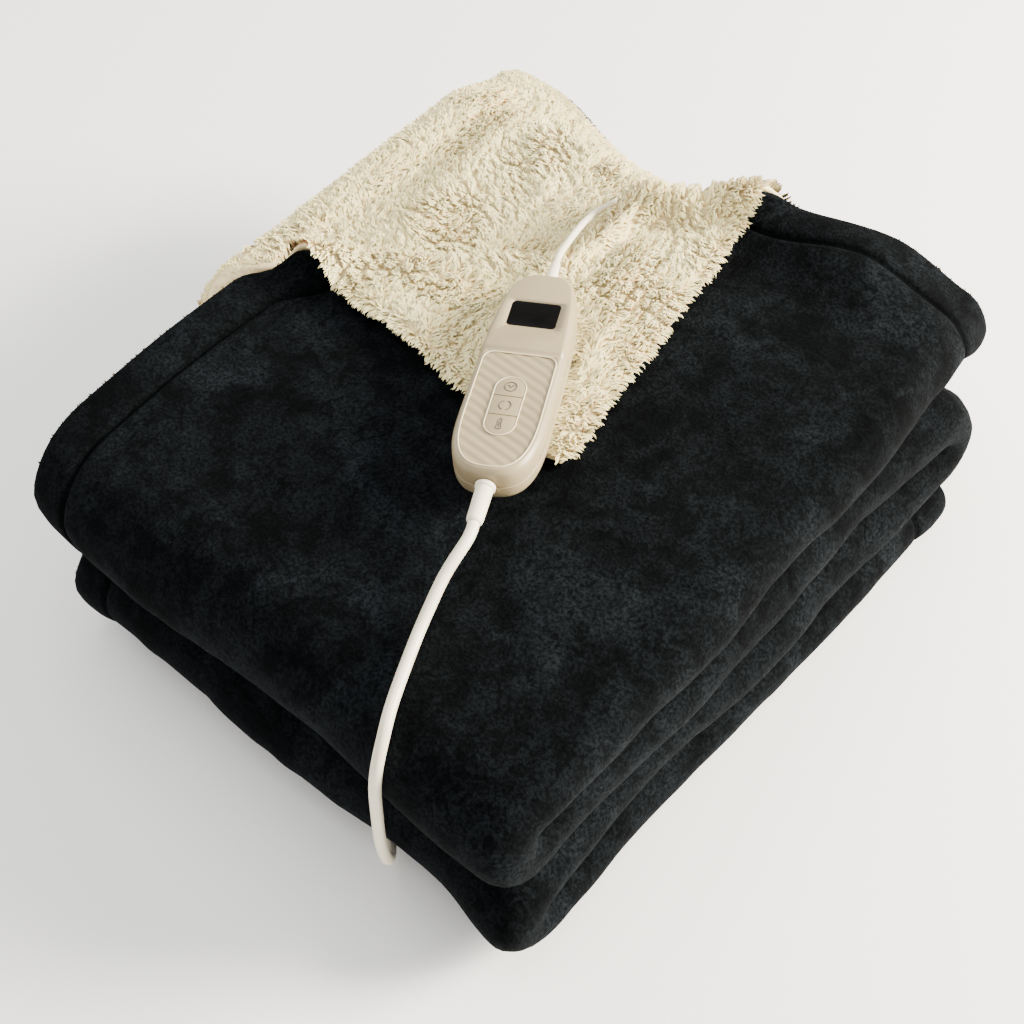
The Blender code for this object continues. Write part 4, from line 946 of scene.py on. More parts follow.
def settle(x, y, z):
    """Uneven rolls, drooping edges and the room over the mains lead; the underside stays flat."""
    height = z / STACK_H
    off_floor = soft_step(0, 0.2, height)
    right = soft_step(FOLDED_X - SIDE_REACH, FOLDED_X, x)
    front = soft_step(SIDE_REACH, 0, y)
    roll = sum(high * np.sin(y / long + turn * height) for high, long, turn in ROLL_WAVES)
    bulge = BULGE_WAVE[0] * np.sin(x / BULGE_WAVE[1] + BULGE_WAVE[2] * height)
    edge = soft_step(FOLDED_X - DROOP_REACH, FOLDED_X, x) + soft_step(DROOP_REACH, 0, y)
    over = soft_step(BACK_Y + BULGE_R / 2, FOLDED_Y, y)
    tunnel = soft_step(TUNNEL_FADE, TUNNEL_DEPTH, y) * np.clip(1 - z / TUNNEL_FADE, 0, 1) ** 2
    top = soft_step(*TOP_LAYER, height)
    open_end = soft_step(*OPEN_Y, y) * hill(OPEN_X, x)
    hem_side = soft_step(*HEM_X, x) * hill(HEM_Y, y)
    shoulder = soft_step(*SHOULDER_X, x) * hill(SHOULDER_Y, y)
    low = soft_step(*LOW_PACKETS, height)
    inset = read_table(HEM_SIDE_LENGTH, y / FOLDED_Y) + read_table(HEM_SIDE_HEIGHT, height)
    swing = read_table(ROLL_END, height) * soft_step(SWING_FROM, FOLDED_Y, y)
    swing = swing + read_table(ROLL_LOW, y / FOLDED_Y) * low
    new_x = x + right * (roll * off_floor + swing) + (1 - x / FOLDED_X) * inset + top * SHOULDER_IN * shoulder
    new_y = y + front * (bulge * off_floor + read_table(FRONT_LOW, x / FOLDED_X) * low)
    new_z = z - EDGE_DROOP * edge * height ** 3 - OVERHANG_DROOP * over + TUNNEL_H * tunnel
    return new_x, new_y, new_z + top * (OPEN_LIFT * open_end + HEM_LIFT * hem_side)


def place(s, t, n):
    """Folded places, as rows of x, y, z, of the cloth at (s, t), n outwards from its middle plane."""
    s, t, n = np.broadcast_arrays(np.asarray(s, dtype=float), np.asarray(t, dtype=float), n)
    x, m = band_section(s, n, t)
    y, z = band_path(m, t)
    flap_x, flap_y, up = turn_corner(s, FOLDED_Y - t, n)
    top = (s < S_OUTER) & (t < T_BULGE_1)
    x = np.where(top, flap_x, x)
    near_end = soft_step(END_REACH, 0, t)
    y = y + read_table(OPEN_END, x / FOLDED_X) * near_end
    y = np.where(top, flap_y + read_table(TOP_END, s / FOLDED_X) * near_end, y)
    z = np.where(top, 3 * PITCH + LAYER_1 + up, z)
    x, y, z = settle(x, y, z)
    return np.stack([x - MIDDLE[0], y - MIDDLE[1], z], axis=-1)


TIP_ROUND = 30 * MM           # the turned corner's tip is cut round, and lies a little further out
TIP_PUSH = 9 * MM
FLAP_SIDE_IN = 6 * MM         # the flap's cloth stops short of where its locks reach
FLAP_END_IN = ((0.0, -3 * MM), (60 * MM, -2 * MM), (110 * MM, 1 * MM), (150 * MM, 6 * MM))
CORNER_ROUND = 11 * MM
EDGE_ROUND = 3.5 * MM         # how far in from an edge the cloth thins to its round edge
EDGE_LEFT = 0.15              # share of the thickness that is left at the edge itself
EDGE_HEIGHT = 0.35            # share of the thickness, from the inner side, at which that lies
BACK_FROM = S_2 + 60 * MM     # the second layer shows between about here and its hem
BACK_FINE = S_2 + 90 * MM
VELVET_LIP = 2.6 * MM         # how far the velvet stands out past the fleece at the second layer's end


def round_corners(s, t):
    """Flat places with the four corners of the lattice drawn in to round ones."""
    s, t = s.copy(), t.copy()
    _, beyond = crease_place(s, FOLDED_Y - t)
    on_flap = soft_step(0, 20 * MM, beyond) * (s < S_OUTER) * (t < T_BULGE_1)
    side_in = on_flap * FLAP_SIDE_IN * soft_step(60 * MM, 0, s) * soft_step(60 * MM, 130 * MM, t)
    end_in = on_flap * read_table(FLAP_END_IN, s) * soft_step(60 * MM, 0, t)
    s, t = s + side_in, t + end_in
    for right, end, r, push in ((0, 0, TIP_ROUND, TIP_PUSH), (1, 0, CORNER_ROUND, 0.0),
                                (0, 1, CORNER_ROUND, 0.0), (1, 1, CORNER_ROUND, 0.0)):
        from_s = S_END - s if right else s
        from_t = T_END - t if end else t
        a, b = np.clip(1 - from_s / r, 0, 1), np.clip(1 - from_t / r, 0, 1)
        new_s = from_s + r * a * (1 - np.sqrt(1 - b * b / 2)) - push * a * b
        new_t = from_t + r * b * (1 - np.sqrt(1 - a * a / 2)) - push * a * b
        s = S_END - new_s if right else new_s
        t = T_END - new_t if end else new_t
    return s, t


def edge_distance(s, t):
    return np.minimum(np.minimum(s, S_END - s), np.minimum(t, T_END - t))


HEM_ROLL = 1.2 * MM
STITCH_DEPTH = 1.9 * MM
STITCH_REACH = 1.5 * MM


def hem_profile(inward):
    """Height of the hem over plain cloth: a soft roll at the edge and a groove where it is stitched."""
    roll = HEM_ROLL * np.sin(np.clip(inward / HEM, 0, 1) * math.pi)
    return roll - STITCH_DEPTH * np.exp(-((inward - HEM) / STITCH_REACH) ** 2)


def grid_lines(*stretches):
    """Lines of the lattice from (start, end, step) stretches that follow one another."""
    lines = []
    for start, end, step in stretches:
        count = max(1, round((end - start) / step))
        lines += [start + (end - start) * i / count for i in range(count)]
    return np.array(lines + [stretches[-1][1]])


def make_sheet(name, s_lines, t_lines, outer, inner, material, lip=0.0):
    """A closed sheet over the lattice between two offsets, each a function of the flat place."""
    s, t = (a.ravel() for a in np.meshgrid(s_lines, t_lines, indexing="ij"))
    inward = edge_distance(s, t)
    s, t = round_corners(s, t)
    second = soft_step(BACK_FROM, BACK_FINE, s)
    t = t - lip * second * (1 - soft_step(0, 8 * MM, t))
    thin = np.sqrt(1 - np.clip(1 - inward / EDGE_ROUND, 0, 1) ** 2)
    n_out, n_in = outer(s, t, inward), inner(s, t, inward)
    middle = n_in + (n_out - n_in) * EDGE_HEIGHT
    left = EDGE_LEFT + (1 - EDGE_LEFT) * thin
    sides = [place(s, t, middle + (n - middle) * left) for n in (n_out, n_in)]
    for side in sides:
        side[:, 2] = np.maximum(side[:, 2], 0.0)
    rows, columns = len(s_lines), len(t_lines)
    index = np.arange(rows * columns).reshape(rows, columns)
    quads = np.stack([index[:-1, :-1], index[1:, :-1], index[1:, 1:], index[:-1, 1:]], axis=-1).reshape(-1, 4)
    rim = np.concatenate([index[:-1, 0], index[-1, :-1], index[:0:-1, -1], index[0, :0:-1]])
    wall = np.stack([rim, np.roll(rim, -1), np.roll(rim, -1) + s.size, rim + s.size], axis=-1)
    faces = np.concatenate([quads, quads[:, ::-1] + s.size, wall[:, ::-1]])
    mesh = bpy.data.meshes.new(name)
    mesh.from_pydata(np.concatenate(sides).tolist(), [], faces.tolist())
    bm = bmesh.new()
    bm.from_mesh(mesh)
    bmesh.ops.recalc_face_normals(bm, faces=bm.faces[:])
    bm.to_mesh(mesh)
    bm.free()
    # painted shade along the hem: a dark line in the stitched groove, and the band between it and the edge a
    # little darker
    hem_shade = np.exp(-((inward - HEM) / (2.0 * MM)) ** 2) * 0.8 + 0.15 * soft_step(HEM, HEM - 4 * MM, inward)
    mesh.attributes.new("hem_shade", "FLOAT", "POINT").data.foreach_set("value", np.tile(np.clip(hem_shade, 0, 0.9), 2))
    mesh.shade_smooth()
    return set_out(name, mesh, material)


def soft_forms(forms, x, y):
    """Summed height at (x, y) of soft rises and troughs, each a row of place, reach, turn and height."""
    height = np.zeros_like(x)
    for mid_x, mid_y, reach, width, turn, high in forms:
        c, d = math.cos(math.radians(turn)), math.sin(math.radians(turn))
        from_x, from_y = x / MM - mid_x, y / MM - mid_y
        u, v = from_x * c + from_y * d, from_y * c - from_x * d
        height += high * MM * np.exp(-(u / reach) ** 2 - (v / width) ** 2)
    return height


FINE = 4.2 * MM
COARSE = 22 * MM
ROLLED = 2.8 * MM
EDGE_LINES = (0, 0.5 * MM, 1.3 * MM, 2.4 * MM, 4 * MM)
STITCH_LINES = (-4.4, -2.6, -1.3, 0, 1.3, 2.6, 4.4)


def with_edges(lines, end):
    """Lattice lines with close ones beside both edges and the stitching, for a round edge and a groove."""
    near = list(EDGE_LINES) + [HEM + v * MM for v in STITCH_LINES]
    taken = np.array(near + [end - v for v in near])
    inside = [v for v in lines if 5 * MM < v < end - 5 * MM and np.min(np.abs(taken - v)) > 1.6 * MM]
    return np.array(sorted(inside + list(taken)))


# ---- velvet panel ----
# Black crushed velvet, 2.5 mm thick with its pile, on the throw's outer side.  Its top and rolls are uneven,
# with soft troughs from folding, and the hem is turned in and stitched with black thread.
NAP_BLACK = (0.0003, 0.0004, 0.0005)
# the lighter bluish tone serves both the crushed nap's own patches and a painted sheen on the rolls'
# undersides
BLUISH_NAP_AND_SHEEN = (0.0076, 0.0094, 0.0112)
# soft places of the top: x and y of the folded cloth in mm, reach along and across, turn in degrees, and
# height in mm, below 0 for a trough
TOP_FORMS = ((70, 120, 60, 30, 60, 1.6), (150, 95, 55, 26, 20, 1.8), (215, 190, 50, 24, -35, 1.6),
             (262, 270, 46, 22, 70, 1.5), (110, 60, 60, 11, 8, -1.0), (190, 130, 60, 9, -40, -1.1),
             (240, 235, 55, 9, -55, -1.2), (60, 70, 50, 10, 75, -0.9), (275, 130, 60, 12, 80, 1.6),
             (205, 60, 40, 9, 30, -1.0), (250, 330, 30, 9, 50, -1.1), (140, 150, 40, 9, 15, -0.9))


def top_puff(s, t):
    """Extra height of the velvet where it shows: broad soft places, troughs and a little unevenness."""
    x, y = s, FOLDED_Y - t
    height = soft_forms(TOP_FORMS, x, y)
    height += 0.7 * MM * lumps(s, t, 34 * MM, 3) + 0.35 * MM * lumps(s + t, s - t, 15 * MM, 4)
    along, beyond = crease_place(x, y)
    world = np.stack([x - MIDDLE[0], y - MIDDLE[1]], axis=-1)
    cord = mains_points[:60, None, :2]
    near = np.min(np.linalg.norm(world[None] - cord, axis=-1), axis=0) if s.size else 0
    clear = soft_step(5 * MM, 22 * MM, near)
    mirror = -beyond / FLAP_STRETCH
    flap_s = CREASE_START[0] + along * CREASE_LEN * ALONG_X - mirror * ALONG_Y
    flap_y = CREASE_START[1] + along * CREASE_LEN * ALONG_Y + mirror * ALONG_X
    covered = soft_step(-22 * MM, -4 * MM, flap_s) * soft_step(22 * MM, 4 * MM, flap_y - FOLDED_Y)
    return height * clear * (1 - covered) * soft_step(2 * MM, -14 * MM, beyond)


def velvet_outer(s, t, inward):
    top = (s < S_OUTER) & (t < T_2)
    rolled = soft_step(S_OUTER - 20 * MM, S_OUTER + 8 * MM, s) * soft_step(S_4, S_4 - 8 * MM, s)
    low_front = (s < S_OUTER) * soft_step(T_BULGE_2, T_BULGE_2 + 8 * MM, t) * soft_step(T_4, T_4 - 8 * MM, t)
    side = np.clip(rolled + low_front, 0, 1) * (0.8 * MM * lumps(s, t, 26 * MM, 7)
                                                + 0.4 * MM * lumps(s, t, 12 * MM, 8))
    fade = soft_step(0, 20 * MM, inward)
    puff = np.where(top, top_puff(s, t) * fade * soft_step(T_2, T_2 - 15 * MM, t), 0.0)
    return VELVET_OUT + hem_profile(inward) * np.where(s < S_4, 1.0, 0.6) + puff + side * (1 - top * 0.5)


def velvet_finish():
    """Black crushed pile: bluish where the nap lies over, with a painted sheen lightening the rolls'
    undersides, dark marks, a fine grain, and painted shade along the hem's stitched groove."""
    material, shader, where = finish_for("velvet_pile", Roughness=0.95, Specular_IOR_Level=0.025,
                                         Sheen_Weight=0.008, Sheen_Roughness=0.45,
                                         Sheen_Tint=(0.62, 0.72, 0.8))
    # painted shade along the hem's stitched groove, kept on the mesh's points
    hem_shade = where.node("ShaderNodeAttribute", {}, {"attribute_name": "hem_shade"}, 2)
    drift = where.noise(8, 2)
    patch = where.stretch(1, 1.5, 1).noise(12, 5, 0.60, 1.2).step(0.43, 0.66)
    small = where.noise(55, 4, 0.62, 0.6).step(0.36, 0.66)
    marks = where.stretch(1.4, 1, 1).noise(105, 2, 0.5, 1.6).step(0.54, 0.66)
    grain = where.noise(620, 3, 0.65).step(0.34, 0.68)
    facing = where.node("ShaderNodeSeparateXYZ", {0: where.node("ShaderNodeNewGeometry", {}, out=1)}, out=2)
    # painted sheen: faces turned downwards, as on the rolls' undersides, are painted towards the lighter
    # bluish tone
    painted_underside_sheen = facing.step(0.35, -0.15) * 0.20
    tone = (patch * 0.44 + small * 0.38 + drift * 0.22 + painted_underside_sheen).clamp(0.0, 1.0) * (1.0 - hem_shade)
    lit = (tone * (grain * 1.05 + 0.25) * (1.0 - marks * 0.6)).clamp(0.0, 1.0)
    feed(shader, "Base Color", lit.blend(NAP_BLACK, BLUISH_NAP_AND_SHEEN))
    feed(shader, "Normal", bump(grain * 0.6 + small * 0.8, 0.35, 0.0008))
    return material


velvet_s = with_edges(grid_lines((0, S_OUTER, FINE), (S_OUTER, S_4, ROLLED), (S_4, S_SIDE, COARSE),
                                 (S_SIDE, S_3, ROLLED), (S_3, S_INNER, COARSE), (S_INNER, S_2, ROLLED),
                                 (S_2, S_END, COARSE)), S_END)
velvet_t = with_edges(grid_lines((0, T_BULGE_1, FINE), (T_BULGE_1, T_2, 3 * MM), (T_2, T_BACK, 6.5 * MM),
                                 (T_BACK, T_3, 4.5 * MM), (T_3, T_BULGE_2, 6.5 * MM),
                                 (T_BULGE_2, T_4, 3.5 * MM), (T_4, T_END, 6.5 * MM)), T_END)
velvet = make_sheet("velvet_throw", velvet_s, velvet_t, velvet_outer, lambda s, t, inward: VELVET_IN,
                    velvet_finish(), VELVET_LIP)
fit(velvet, "velvet", "velvet_face")

# ---- fleece panel ----
# Cream knitted fleece, 4 mm thick, on the throw's inner side, sewn to the velvet along the hem.  It shows on
# the turned corner and on the second layer behind it, where it has soft creases.
# the backing under the locks, painted darker and warmer for the shade under the pile, and varied at random
# between these two
SHADED_GROUND_DEEP = (0.60, 0.46, 0.24)
SHADED_GROUND_CREAM = (0.78, 0.64, 0.38)
# creases in the same form: on the second layer in the folded cloth's x and y, and on the corner in its own
# flat ones
BACK_FORMS = ((20, 273, 62, 10, 90, -2.2), (46, 272, 58, 10, 100, 2.6), (73, 328, 30, 7, -40, 2.2),
              (98, 296, 30, 12, 39, -1.8), (8, 345, 40, 9, 80, 1.5), (60, 300, 14, 12, 10, 0.9))
FLAP_FORMS = ((118, 332, 44, 12, 52, -2.2), (64, 358, 30, 7, 163, 1.9), (96, 345, 26, 8, 30, 1.4),
              (60, 285, 34, 12, 0, -1.2), (30, 330, 30, 14, 60, 1.2))


def fleece_outer(s, t, inward):
    """The fleece's outer side: curls, creases and a puffed hem where it shows."""
    flap = (s < S_OUTER) * (t < T_BULGE_1)
    _, beyond = crease_place(s, FOLDED_Y - t)
    turned = flap * soft_step(0, 10 * MM, beyond)
    second = (s > BACK_FROM) * (t < T_BULGE_1)
    curls = 0.5 * MM * lumps(s, t, 7 * MM, 11) + 0.3 * MM * lumps(s, t, 3.4 * MM, 12)
    high = 0.8 * hem_profile(inward) + curls
    forms = turned * soft_forms(FLAP_FORMS, s, FOLDED_Y - t)
    forms = forms + second * soft_forms(BACK_FORMS, FOLD_X - (s - S_2), FOLDED_Y - t)
    return -FLEECE_OUT - np.maximum(turned, second) * high - forms * soft_step(0, 12 * MM, inward)


def fleece_finish():
    """Backing of the pile, painted darker and warmer than the locks' tips for the shade deep under them."""
    material, shader, where = finish_for("fleece_ground", Roughness=0.95, Specular_IOR_Level=0.15)
    tone = where.noise(160, 4, 0.6).step(0.3, 0.7)
    feed(shader, "Base Color", tone.blend(SHADED_GROUND_DEEP, SHADED_GROUND_CREAM))
    feed(shader, "Normal", bump(where.noise(420, 4, 0.6), 0.7, 0.0015))
    return material


fleece_s = with_edges(grid_lines((0, 210 * MM, FINE), (210 * MM, S_OUTER, 12 * MM), (S_OUTER, S_4, 4 * MM),
                                 (S_4, S_SIDE, COARSE), (S_SIDE, S_3, ROLLED), (S_3, S_INNER, COARSE),
                                 (S_INNER, S_2, ROLLED), (S_2, BACK_FINE, COARSE),
                                 (BACK_FINE, S_END, FINE)), S_END)
fleece_t = with_edges(grid_lines((0, 250 * MM, FINE), (250 * MM, T_BULGE_1, 10 * MM),
                                 (T_BULGE_1, T_2, 6 * MM), (T_2, T_BACK, 14 * MM), (T_BACK, T_3, 7 * MM),
                                 (T_3, T_BULGE_2, 14 * MM), (T_BULGE_2, T_4, 6 * MM), (T_4, T_END, 14 * MM)),
                     T_END)
fleece = make_sheet("fleece_throw", fleece_s, fleece_t, fleece_outer, lambda s, t, inward: -FLEECE_IN,
                    fleece_finish())
fit(fleece, "fleece", "fleece_back")

# ---- fleece pile ----
# Deep knitted fleece: soft bent locks about 5 mm long that lean together in curls and lie in broad swirls,
# and stand out as a fringe past every edge.  Each is a tapering tuft of three sides rooted in the fleece.
LOCK_L = 4.8 * MM
LOCK_R = 0.80 * MM
LOCK_ROWS = ((0.0, 0.85), (0.42, 1.0), (0.80, 0.66))     # share of the length, and of the lock's radius
ROOT_DEPTH = 0.8 * MM
CURL = 6.2 * MM               # how far apart the curls are in which locks lean together
SOFT_NORMAL = 0.78            # how far the shading of a lock follows the cloth under it
CURL_SEED = 77
CURL_LEAN = 0.80              # how strongly locks lean towards their curl, with the nap and at random
NAP_LEAN = 0.62
STRAY_LEAN = 0.16
STRAY_BEND = 0.10
EDGE_LEAN = math.radians(26)  # how much further they lean at an edge and beside the handset
PUSH_LEAN = math.radians(30)
FRINGE_LEAN = math.radians(78)
LEAN_LIMITS = (0.15, 1.4)
LENGTH_SPREAD = (0.82, 1.12)
AXIS_STEP = 1.6 * MM
HANDSET_CORE = 44 * MM        # half the length of the handset's middle line that locks are kept clear of
HANDSET_CLEAR = (27 * MM, 21 * MM)
LEAD_CLEAR = (5.5 * MM, 2.5 * MM)
FLAP_LOW = 125 * MM           # locks under this height are clear of the handset anyway
TIP_SHADE = 0.8               # the tone at a lock's tip, 0 at its root where painted shade is deepest, and how much it varies by lock
SHADE_SPREAD = 0.16
# colours of the locks' painted shade, from deep at the root, through half shade, to the cream of the tip
FIBRE_SHADED_ROOT = (0.50, 0.345, 0.12)
FIBRE_HALF_SHADED = (0.77, 0.605, 0.295)
FIBRE_TIP = (0.93, 0.785, 0.435)


def pile_finish():
    """Cream fibres, a little deeper and warmer in patches, with painted shade deeper and warmer near their
    roots.
    """
    material, shader, where = finish_for("fleece_locks", Roughness=0.95, Specular_IOR_Level=0.12,
                                         Subsurface_Weight=0.20, Subsurface_Scale=0.003)
    shade = where.node("ShaderNodeAttribute", {}, {"attribute_name": "lock"}, 2)
    patch = where.noise(38, 3, 0.6).step(0.3, 0.7) * 0.22
    tone = (shade * 0.86 + patch).clamp(0.0, 1.0)
    feed(shader, "Base Color", tone.ramp((0.0, FIBRE_SHADED_ROOT), (0.40, FIBRE_HALF_SHADED), (1.0, FIBRE_TIP)))
    return material


def unit(rows):
    """Each row scaled to a length of 1."""
    return rows / np.linalg.norm(rows, axis=1)[:, None]


def curl_middle(s, t, seed):
    """Flat place of the middle of the curl nearest to each lock, and how far off it is."""
    shift = np.random.default_rng(seed).uniform(-0.36, 0.36, (256, 256, 2))
    i, j = np.floor(s / CURL).astype(int), np.floor(t / CURL).astype(int)
    middle = np.zeros((s.size, 2))
    best = np.full(s.size, np.inf)
    for beside in range(9):
        a, b = i + beside // 3 - 1, j + beside % 3 - 1
        place_s = (a + 0.5 + shift[a % 256, b % 256, 0]) * CURL
        place_t = (b + 0.5 + shift[a % 256, b % 256, 1]) * CURL
        far = np.hypot(place_s - s, place_t - t)
        nearer = far < best
        best[nearer] = far[nearer]
        middle[nearer] = np.column_stack([place_s, place_t])[nearer]
    return middle[:, 0], middle[:, 1], best


def from_handset(root):
    """Way out from the handset's middle line to each root, and how far off it lies."""
    turn = np.array([math.cos(HANDSET_TURN), math.sin(HANDSET_TURN)])
    local = root[:, :2] - np.array(HANDSET_AT)
    u, v = local @ turn, local @ np.array([-turn[1], turn[0]])
    nearest = np.stack([np.clip(u, -HANDSET_CORE, HANDSET_CORE), np.zeros_like(v)], axis=1)
    from_axis = np.stack([u, v], axis=1) - nearest
    distance = np.linalg.norm(from_axis, axis=1)
    way = from_axis / np.maximum(distance, 1e-6)[:, None]
    return way[:, :1] * turn + way[:, 1:] * np.array([-turn[1], turn[0]]), distance


def keep_clear(root):
    """Way that each lock is pushed by the handset or the thin lead beside it, and how strongly."""
    way, distance = from_handset(root)
    push = soft_step(*HANDSET_CLEAR, distance) * (root[:, 2] > FLAP_LOW)
    gap = root[:, None] - lead_points[None]
    k = np.argmin(np.linalg.norm(gap, axis=2), axis=1)
    from_lead = gap[np.arange(len(root)), k]
    beside = soft_step(*LEAD_CLEAR, np.linalg.norm(from_lead, axis=1))
    lead_way = from_lead[:, :2] / np.maximum(np.linalg.norm(from_lead[:, :2], axis=1), 1e-6)[:, None]
    way = np.where((beside > push)[:, None], lead_way, way)
    return np.column_stack([way, np.zeros(len(root))]), np.maximum(push, beside)[:, None]


def cloth_axes(s, t, depth):
    """Ways across and along the cloth and out from its fleece side; depth gives the surface's n at (s, t)."""
    around = [place(a, b, depth(a, b)) for a, b in ((s + AXIS_STEP, t), (s - AXIS_STEP, t),
                                                    (s, t + AXIS_STEP), (s, t - AXIS_STEP))]
    across, flat_t = unit(around[0] - around[1]), around[2] - around[3]
    up = unit(np.cross(across, flat_t))
    n = depth(s, t)
    outside = place(s, t, n - 1 * MM) - place(s, t, n)
    up *= np.sign(np.sum(up * outside, axis=1))[:, None]
    along = np.cross(up, across)
    along *= np.sign(np.sum(along * flat_t, axis=1))[:, None]
    return across, along, up


def lock_faces():
    """Triangles of one closed lock: its sides, its tip and its root."""
    faces = []
    for row in range(len(LOCK_ROWS) - 1):
        for k in range(3):
            a, b = row * 3 + k, row * 3 + (k + 1) % 3
            faces += [(a, b, b + 3), (a, b + 3, a + 3)]
    last = (len(LOCK_ROWS) - 1) * 3
    return faces + [(last + k, last + (k + 1) % 3, last + 3) for k in range(3)] + [(2, 1, 0)]


def make_pile(name, s, t, seed, material, length=LOCK_L, radius=LOCK_R, height=None, edge_share=1.0,
              slot="fleece"):
    """Locks rooted at flat places (s, t) of the fleece, as one mesh.  At the edges they have edge_share of
    their length; where a height is given they are a fringe, rooted that far from the cloth's middle plane."""
    draw = np.random.default_rng(seed)
    inward = edge_distance(s, t)
    nearest = np.select([inward == s, inward == S_END - s, inward == t], [0, 1, 2], 3)
    s, t = round_corners(s, t)

    def depth(a, b):
        return fleece_outer(a, b, inward) if height is None else np.full(a.size, height)

    root = place(s, t, depth(s, t) + ROOT_DEPTH)
    across, along, up = cloth_axes(s, t, depth)

    # which way each lock leans, and how far
    curl_s, curl_t, from_curl = curl_middle(s, t, CURL_SEED)
    nap = 3.4 * lumps(s, t, 42 * MM, 78) + 1.0 * lumps(s, t, 13 * MM, 79)
    lean_s = CURL_LEAN * (curl_s - s) / length + NAP_LEAN * np.cos(nap) + draw.normal(0, STRAY_LEAN, s.size)
    lean_t = CURL_LEAN * (curl_t - t) / length + NAP_LEAN * np.sin(nap) + draw.normal(0, STRAY_LEAN, s.size)
    lean = np.arctan(np.hypot(lean_s, lean_t)) if height is None else np.full(s.size, FRINGE_LEAN)
    side = unit(across * lean_s[:, None] + along * lean_t[:, None])
    edge_way = np.select([(nearest == k)[:, None] for k in range(3)], [-across, across, -along], along)
    edge = (1 - soft_step(0.5 * MM, 6 * MM, inward))[:, None]
    side = side * (1 - edge) + edge_way * edge
    away, push = keep_clear(root)
    side = side * (1 - push) + away * push
    side = unit(side - up * np.sum(side * up, axis=1)[:, None])
    lean = np.clip(lean + EDGE_LEAN * edge[:, 0] + PUSH_LEAN * push[:, 0], *LEAN_LIMITS)
    size = length * draw.uniform(*LENGTH_SPREAD, s.size) * (1.14 - 0.10 * from_curl / (0.5 * CURL))
    size = size * (edge_share + (1 - edge_share) * soft_step(0, 16 * MM, inward))

    # rings of three points up each bent lock, and its tip
    wide = np.cross(up, side)
    rings, normals = [], []
    for share, width in LOCK_ROWS + ((1.0, 0.0),):
        bend = lean * (0.55 + 0.65 * share)
        middle = root + (size * share)[:, None] * (up * np.cos(bend)[:, None] + side * np.sin(bend)[:, None])
        middle += wide * (draw.normal(0, STRAY_BEND, s.size) * size * share)[:, None]
        if width == 0:
            rings.append(middle[:, None])
            normals.append(up[:, None])
            break
        facing = up * np.sin(bend)[:, None] - side * np.cos(bend)[:, None]
        for a in (math.pi / 6, 5 * math.pi / 6, 3 * math.pi / 2):
            outwards = wide * math.cos(a) + facing * math.sin(a)
            rings.append((middle + radius * width * outwards)[:, None])
            normals.append((up * SOFT_NORMAL + outwards * (1 - SOFT_NORMAL))[:, None])
    verts, normals = np.concatenate(rings, axis=1), np.concatenate(normals, axis=1)
    first = np.arange(s.size)[:, None, None] * verts.shape[1]
    mesh = bpy.data.meshes.new(name)
    faces = (np.array(lock_faces())[None] + first).reshape(-1, 3)
    mesh.from_pydata(verts.reshape(-1, 3).tolist(), [], faces.tolist())
    # painted shade deep in the pile: darkest at each lock's root, lightest at its tip, with a random lift by
    # lock
    shade = np.append(np.repeat([row[0] for row in LOCK_ROWS], 3), 1.0)
    shade = np.clip(shade[None] * TIP_SHADE + draw.uniform(0.0, SHADE_SPREAD, s.size)[:, None], 0, 1)
    mesh.attributes.new("lock", "FLOAT", "POINT").data.foreach_set("value", shade.ravel())
    mesh.shade_smooth()
    mesh.normals_split_custom_set_from_vertices(unit(normals.reshape(-1, 3)).tolist())
    return fit(set_out(name, mesh, material), slot)


def lock_places(s_from, s_to, t_from, t_to, spacing, seed):
    """Jittered flat places over a rectangle of the fleece."""
    draw = np.random.default_rng(seed)
    s, t = np.meshgrid(np.arange(s_from, s_to, spacing), np.arange(t_from, t_to, spacing), indexing="ij")
    s = s.ravel() + draw.uniform(-0.5, 0.5, s.size) * spacing
    t = t.ravel() + draw.uniform(-0.5, 0.5, t.size) * spacing
    return np.clip(s, 0.3 * MM, S_END - 0.3 * MM), np.clip(t, 0.3 * MM, T_END - 0.3 * MM)


LOCKS = pile_finish()
SPACING = 1.28 * MM
UNDER_HANDSET = 13 * MM       # nearer the handset's middle line than this, locks lie hidden and are left out
CORNER_FIELD = (200 * MM, 220 * MM)      # flat cloth in which locks are drawn, in s and t
CORNER_SPLIT = 66 * MM                   # each pile is two pieces, parted here
CORNER_PAST = -2 * MM                    # how far past the crease its locks start
BACK_PILE = S_2 + 85 * MM
BACK_FIELD_T = 275 * MM
BACK_SPLIT = 60 * MM
BACK_UNDER = 12 * MM                     # how far in under the corner's ridge the second layer's locks go
flap_s, flap_t = lock_places(0, CORNER_FIELD[0], 0, CORNER_FIELD[1], SPACING, 21)
_, past = crease_place(flap_s, FOLDED_Y - flap_t)
_, off_handset = from_handset(place(flap_s, flap_t, -FLEECE_OUT))
for k, half in enumerate((flap_s < CORNER_SPLIT, flap_s >= CORNER_SPLIT)):
    part = (past > CORNER_PAST) & (off_handset > UNDER_HANDSET) & half
    make_pile("fleece_pile_corner_%d" % k, flap_s[part], flap_t[part], 31 + k, LOCKS)

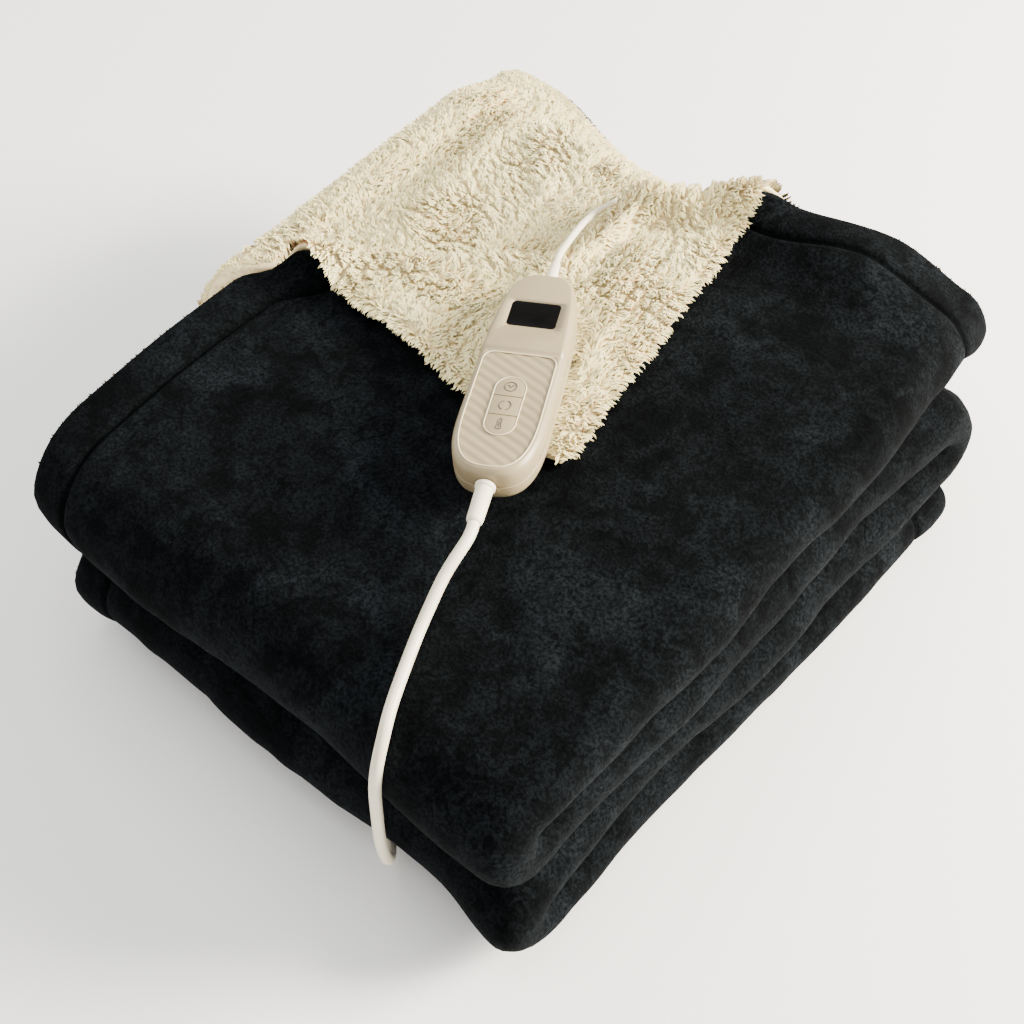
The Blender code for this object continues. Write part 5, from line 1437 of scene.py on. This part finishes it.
back_s, back_t = lock_places(BACK_PILE, S_END, 0, BACK_FIELD_T, SPACING, 22)
back_x = FOLD_X - (back_s - S_2)
share, past = crease_place(back_x, FOLDED_Y - back_t)
open_place = past > read_table(CREASE_WANDER, share) - BACK_UNDER
for k, half in enumerate((back_x < BACK_SPLIT, back_x >= BACK_SPLIT)):
    part = open_place & half
    make_pile("fleece_pile_back_%d" % k, back_s[part], back_t[part], 41 + k, LOCKS,
                           edge_share=0.5)

# cream fringe that stands out between the layers along the other edges
EDGE_LOCKS = 1550             # along each edge
FRINGE_L = 2.6 * MM
FRINGE_R = 0.7 * MM
FRINGE_DEPTHS = (-3.9 * MM, -0.9 * MM)
draw = np.random.default_rng(61)
fringe_s = [draw.uniform(0, S_END, EDGE_LOCKS), draw.uniform(0, S_END, EDGE_LOCKS),
            np.zeros(EDGE_LOCKS), np.full(EDGE_LOCKS, S_END)]
fringe_t = [np.zeros(EDGE_LOCKS), np.full(EDGE_LOCKS, T_END), draw.uniform(225 * MM, T_END, EDGE_LOCKS),
            draw.uniform(280 * MM, T_END, EDGE_LOCKS)]
fringe_s, fringe_t = np.concatenate(fringe_s), np.concatenate(fringe_t)
other = (fringe_t > 0) | ((fringe_s > 200 * MM) & (fringe_s < BACK_PILE))
make_pile("fleece_fringe", fringe_s[other], fringe_t[other], 62, LOCKS, FRINGE_L, FRINGE_R,
                       draw.uniform(*FRINGE_DEPTHS, other.sum()))

# ---- velvet edge ----
# Short black pile of the velvet that stands out past the second layer's end, above the cream fleece there.
# It is made as the fleece's fringe is, of finer locks, and has the velvet's own finish.
BLACK_L = 3.6 * MM
BLACK_R = 0.42 * MM
BLACK_DEPTH = -0.3 * MM
BLACK_OUT = 1.8 * MM          # how far past the fleece's end they are rooted
edge_x = np.random.default_rng(51).uniform(-16 * MM, 150 * MM, 260)
black_fringe = make_pile("velvet_fringe", S_2 + FOLD_X - edge_x, np.full(edge_x.size, -BLACK_OUT), 52,
                         velvet.data.materials[0], BLACK_L, BLACK_R, BLACK_DEPTH, slot="velvet")
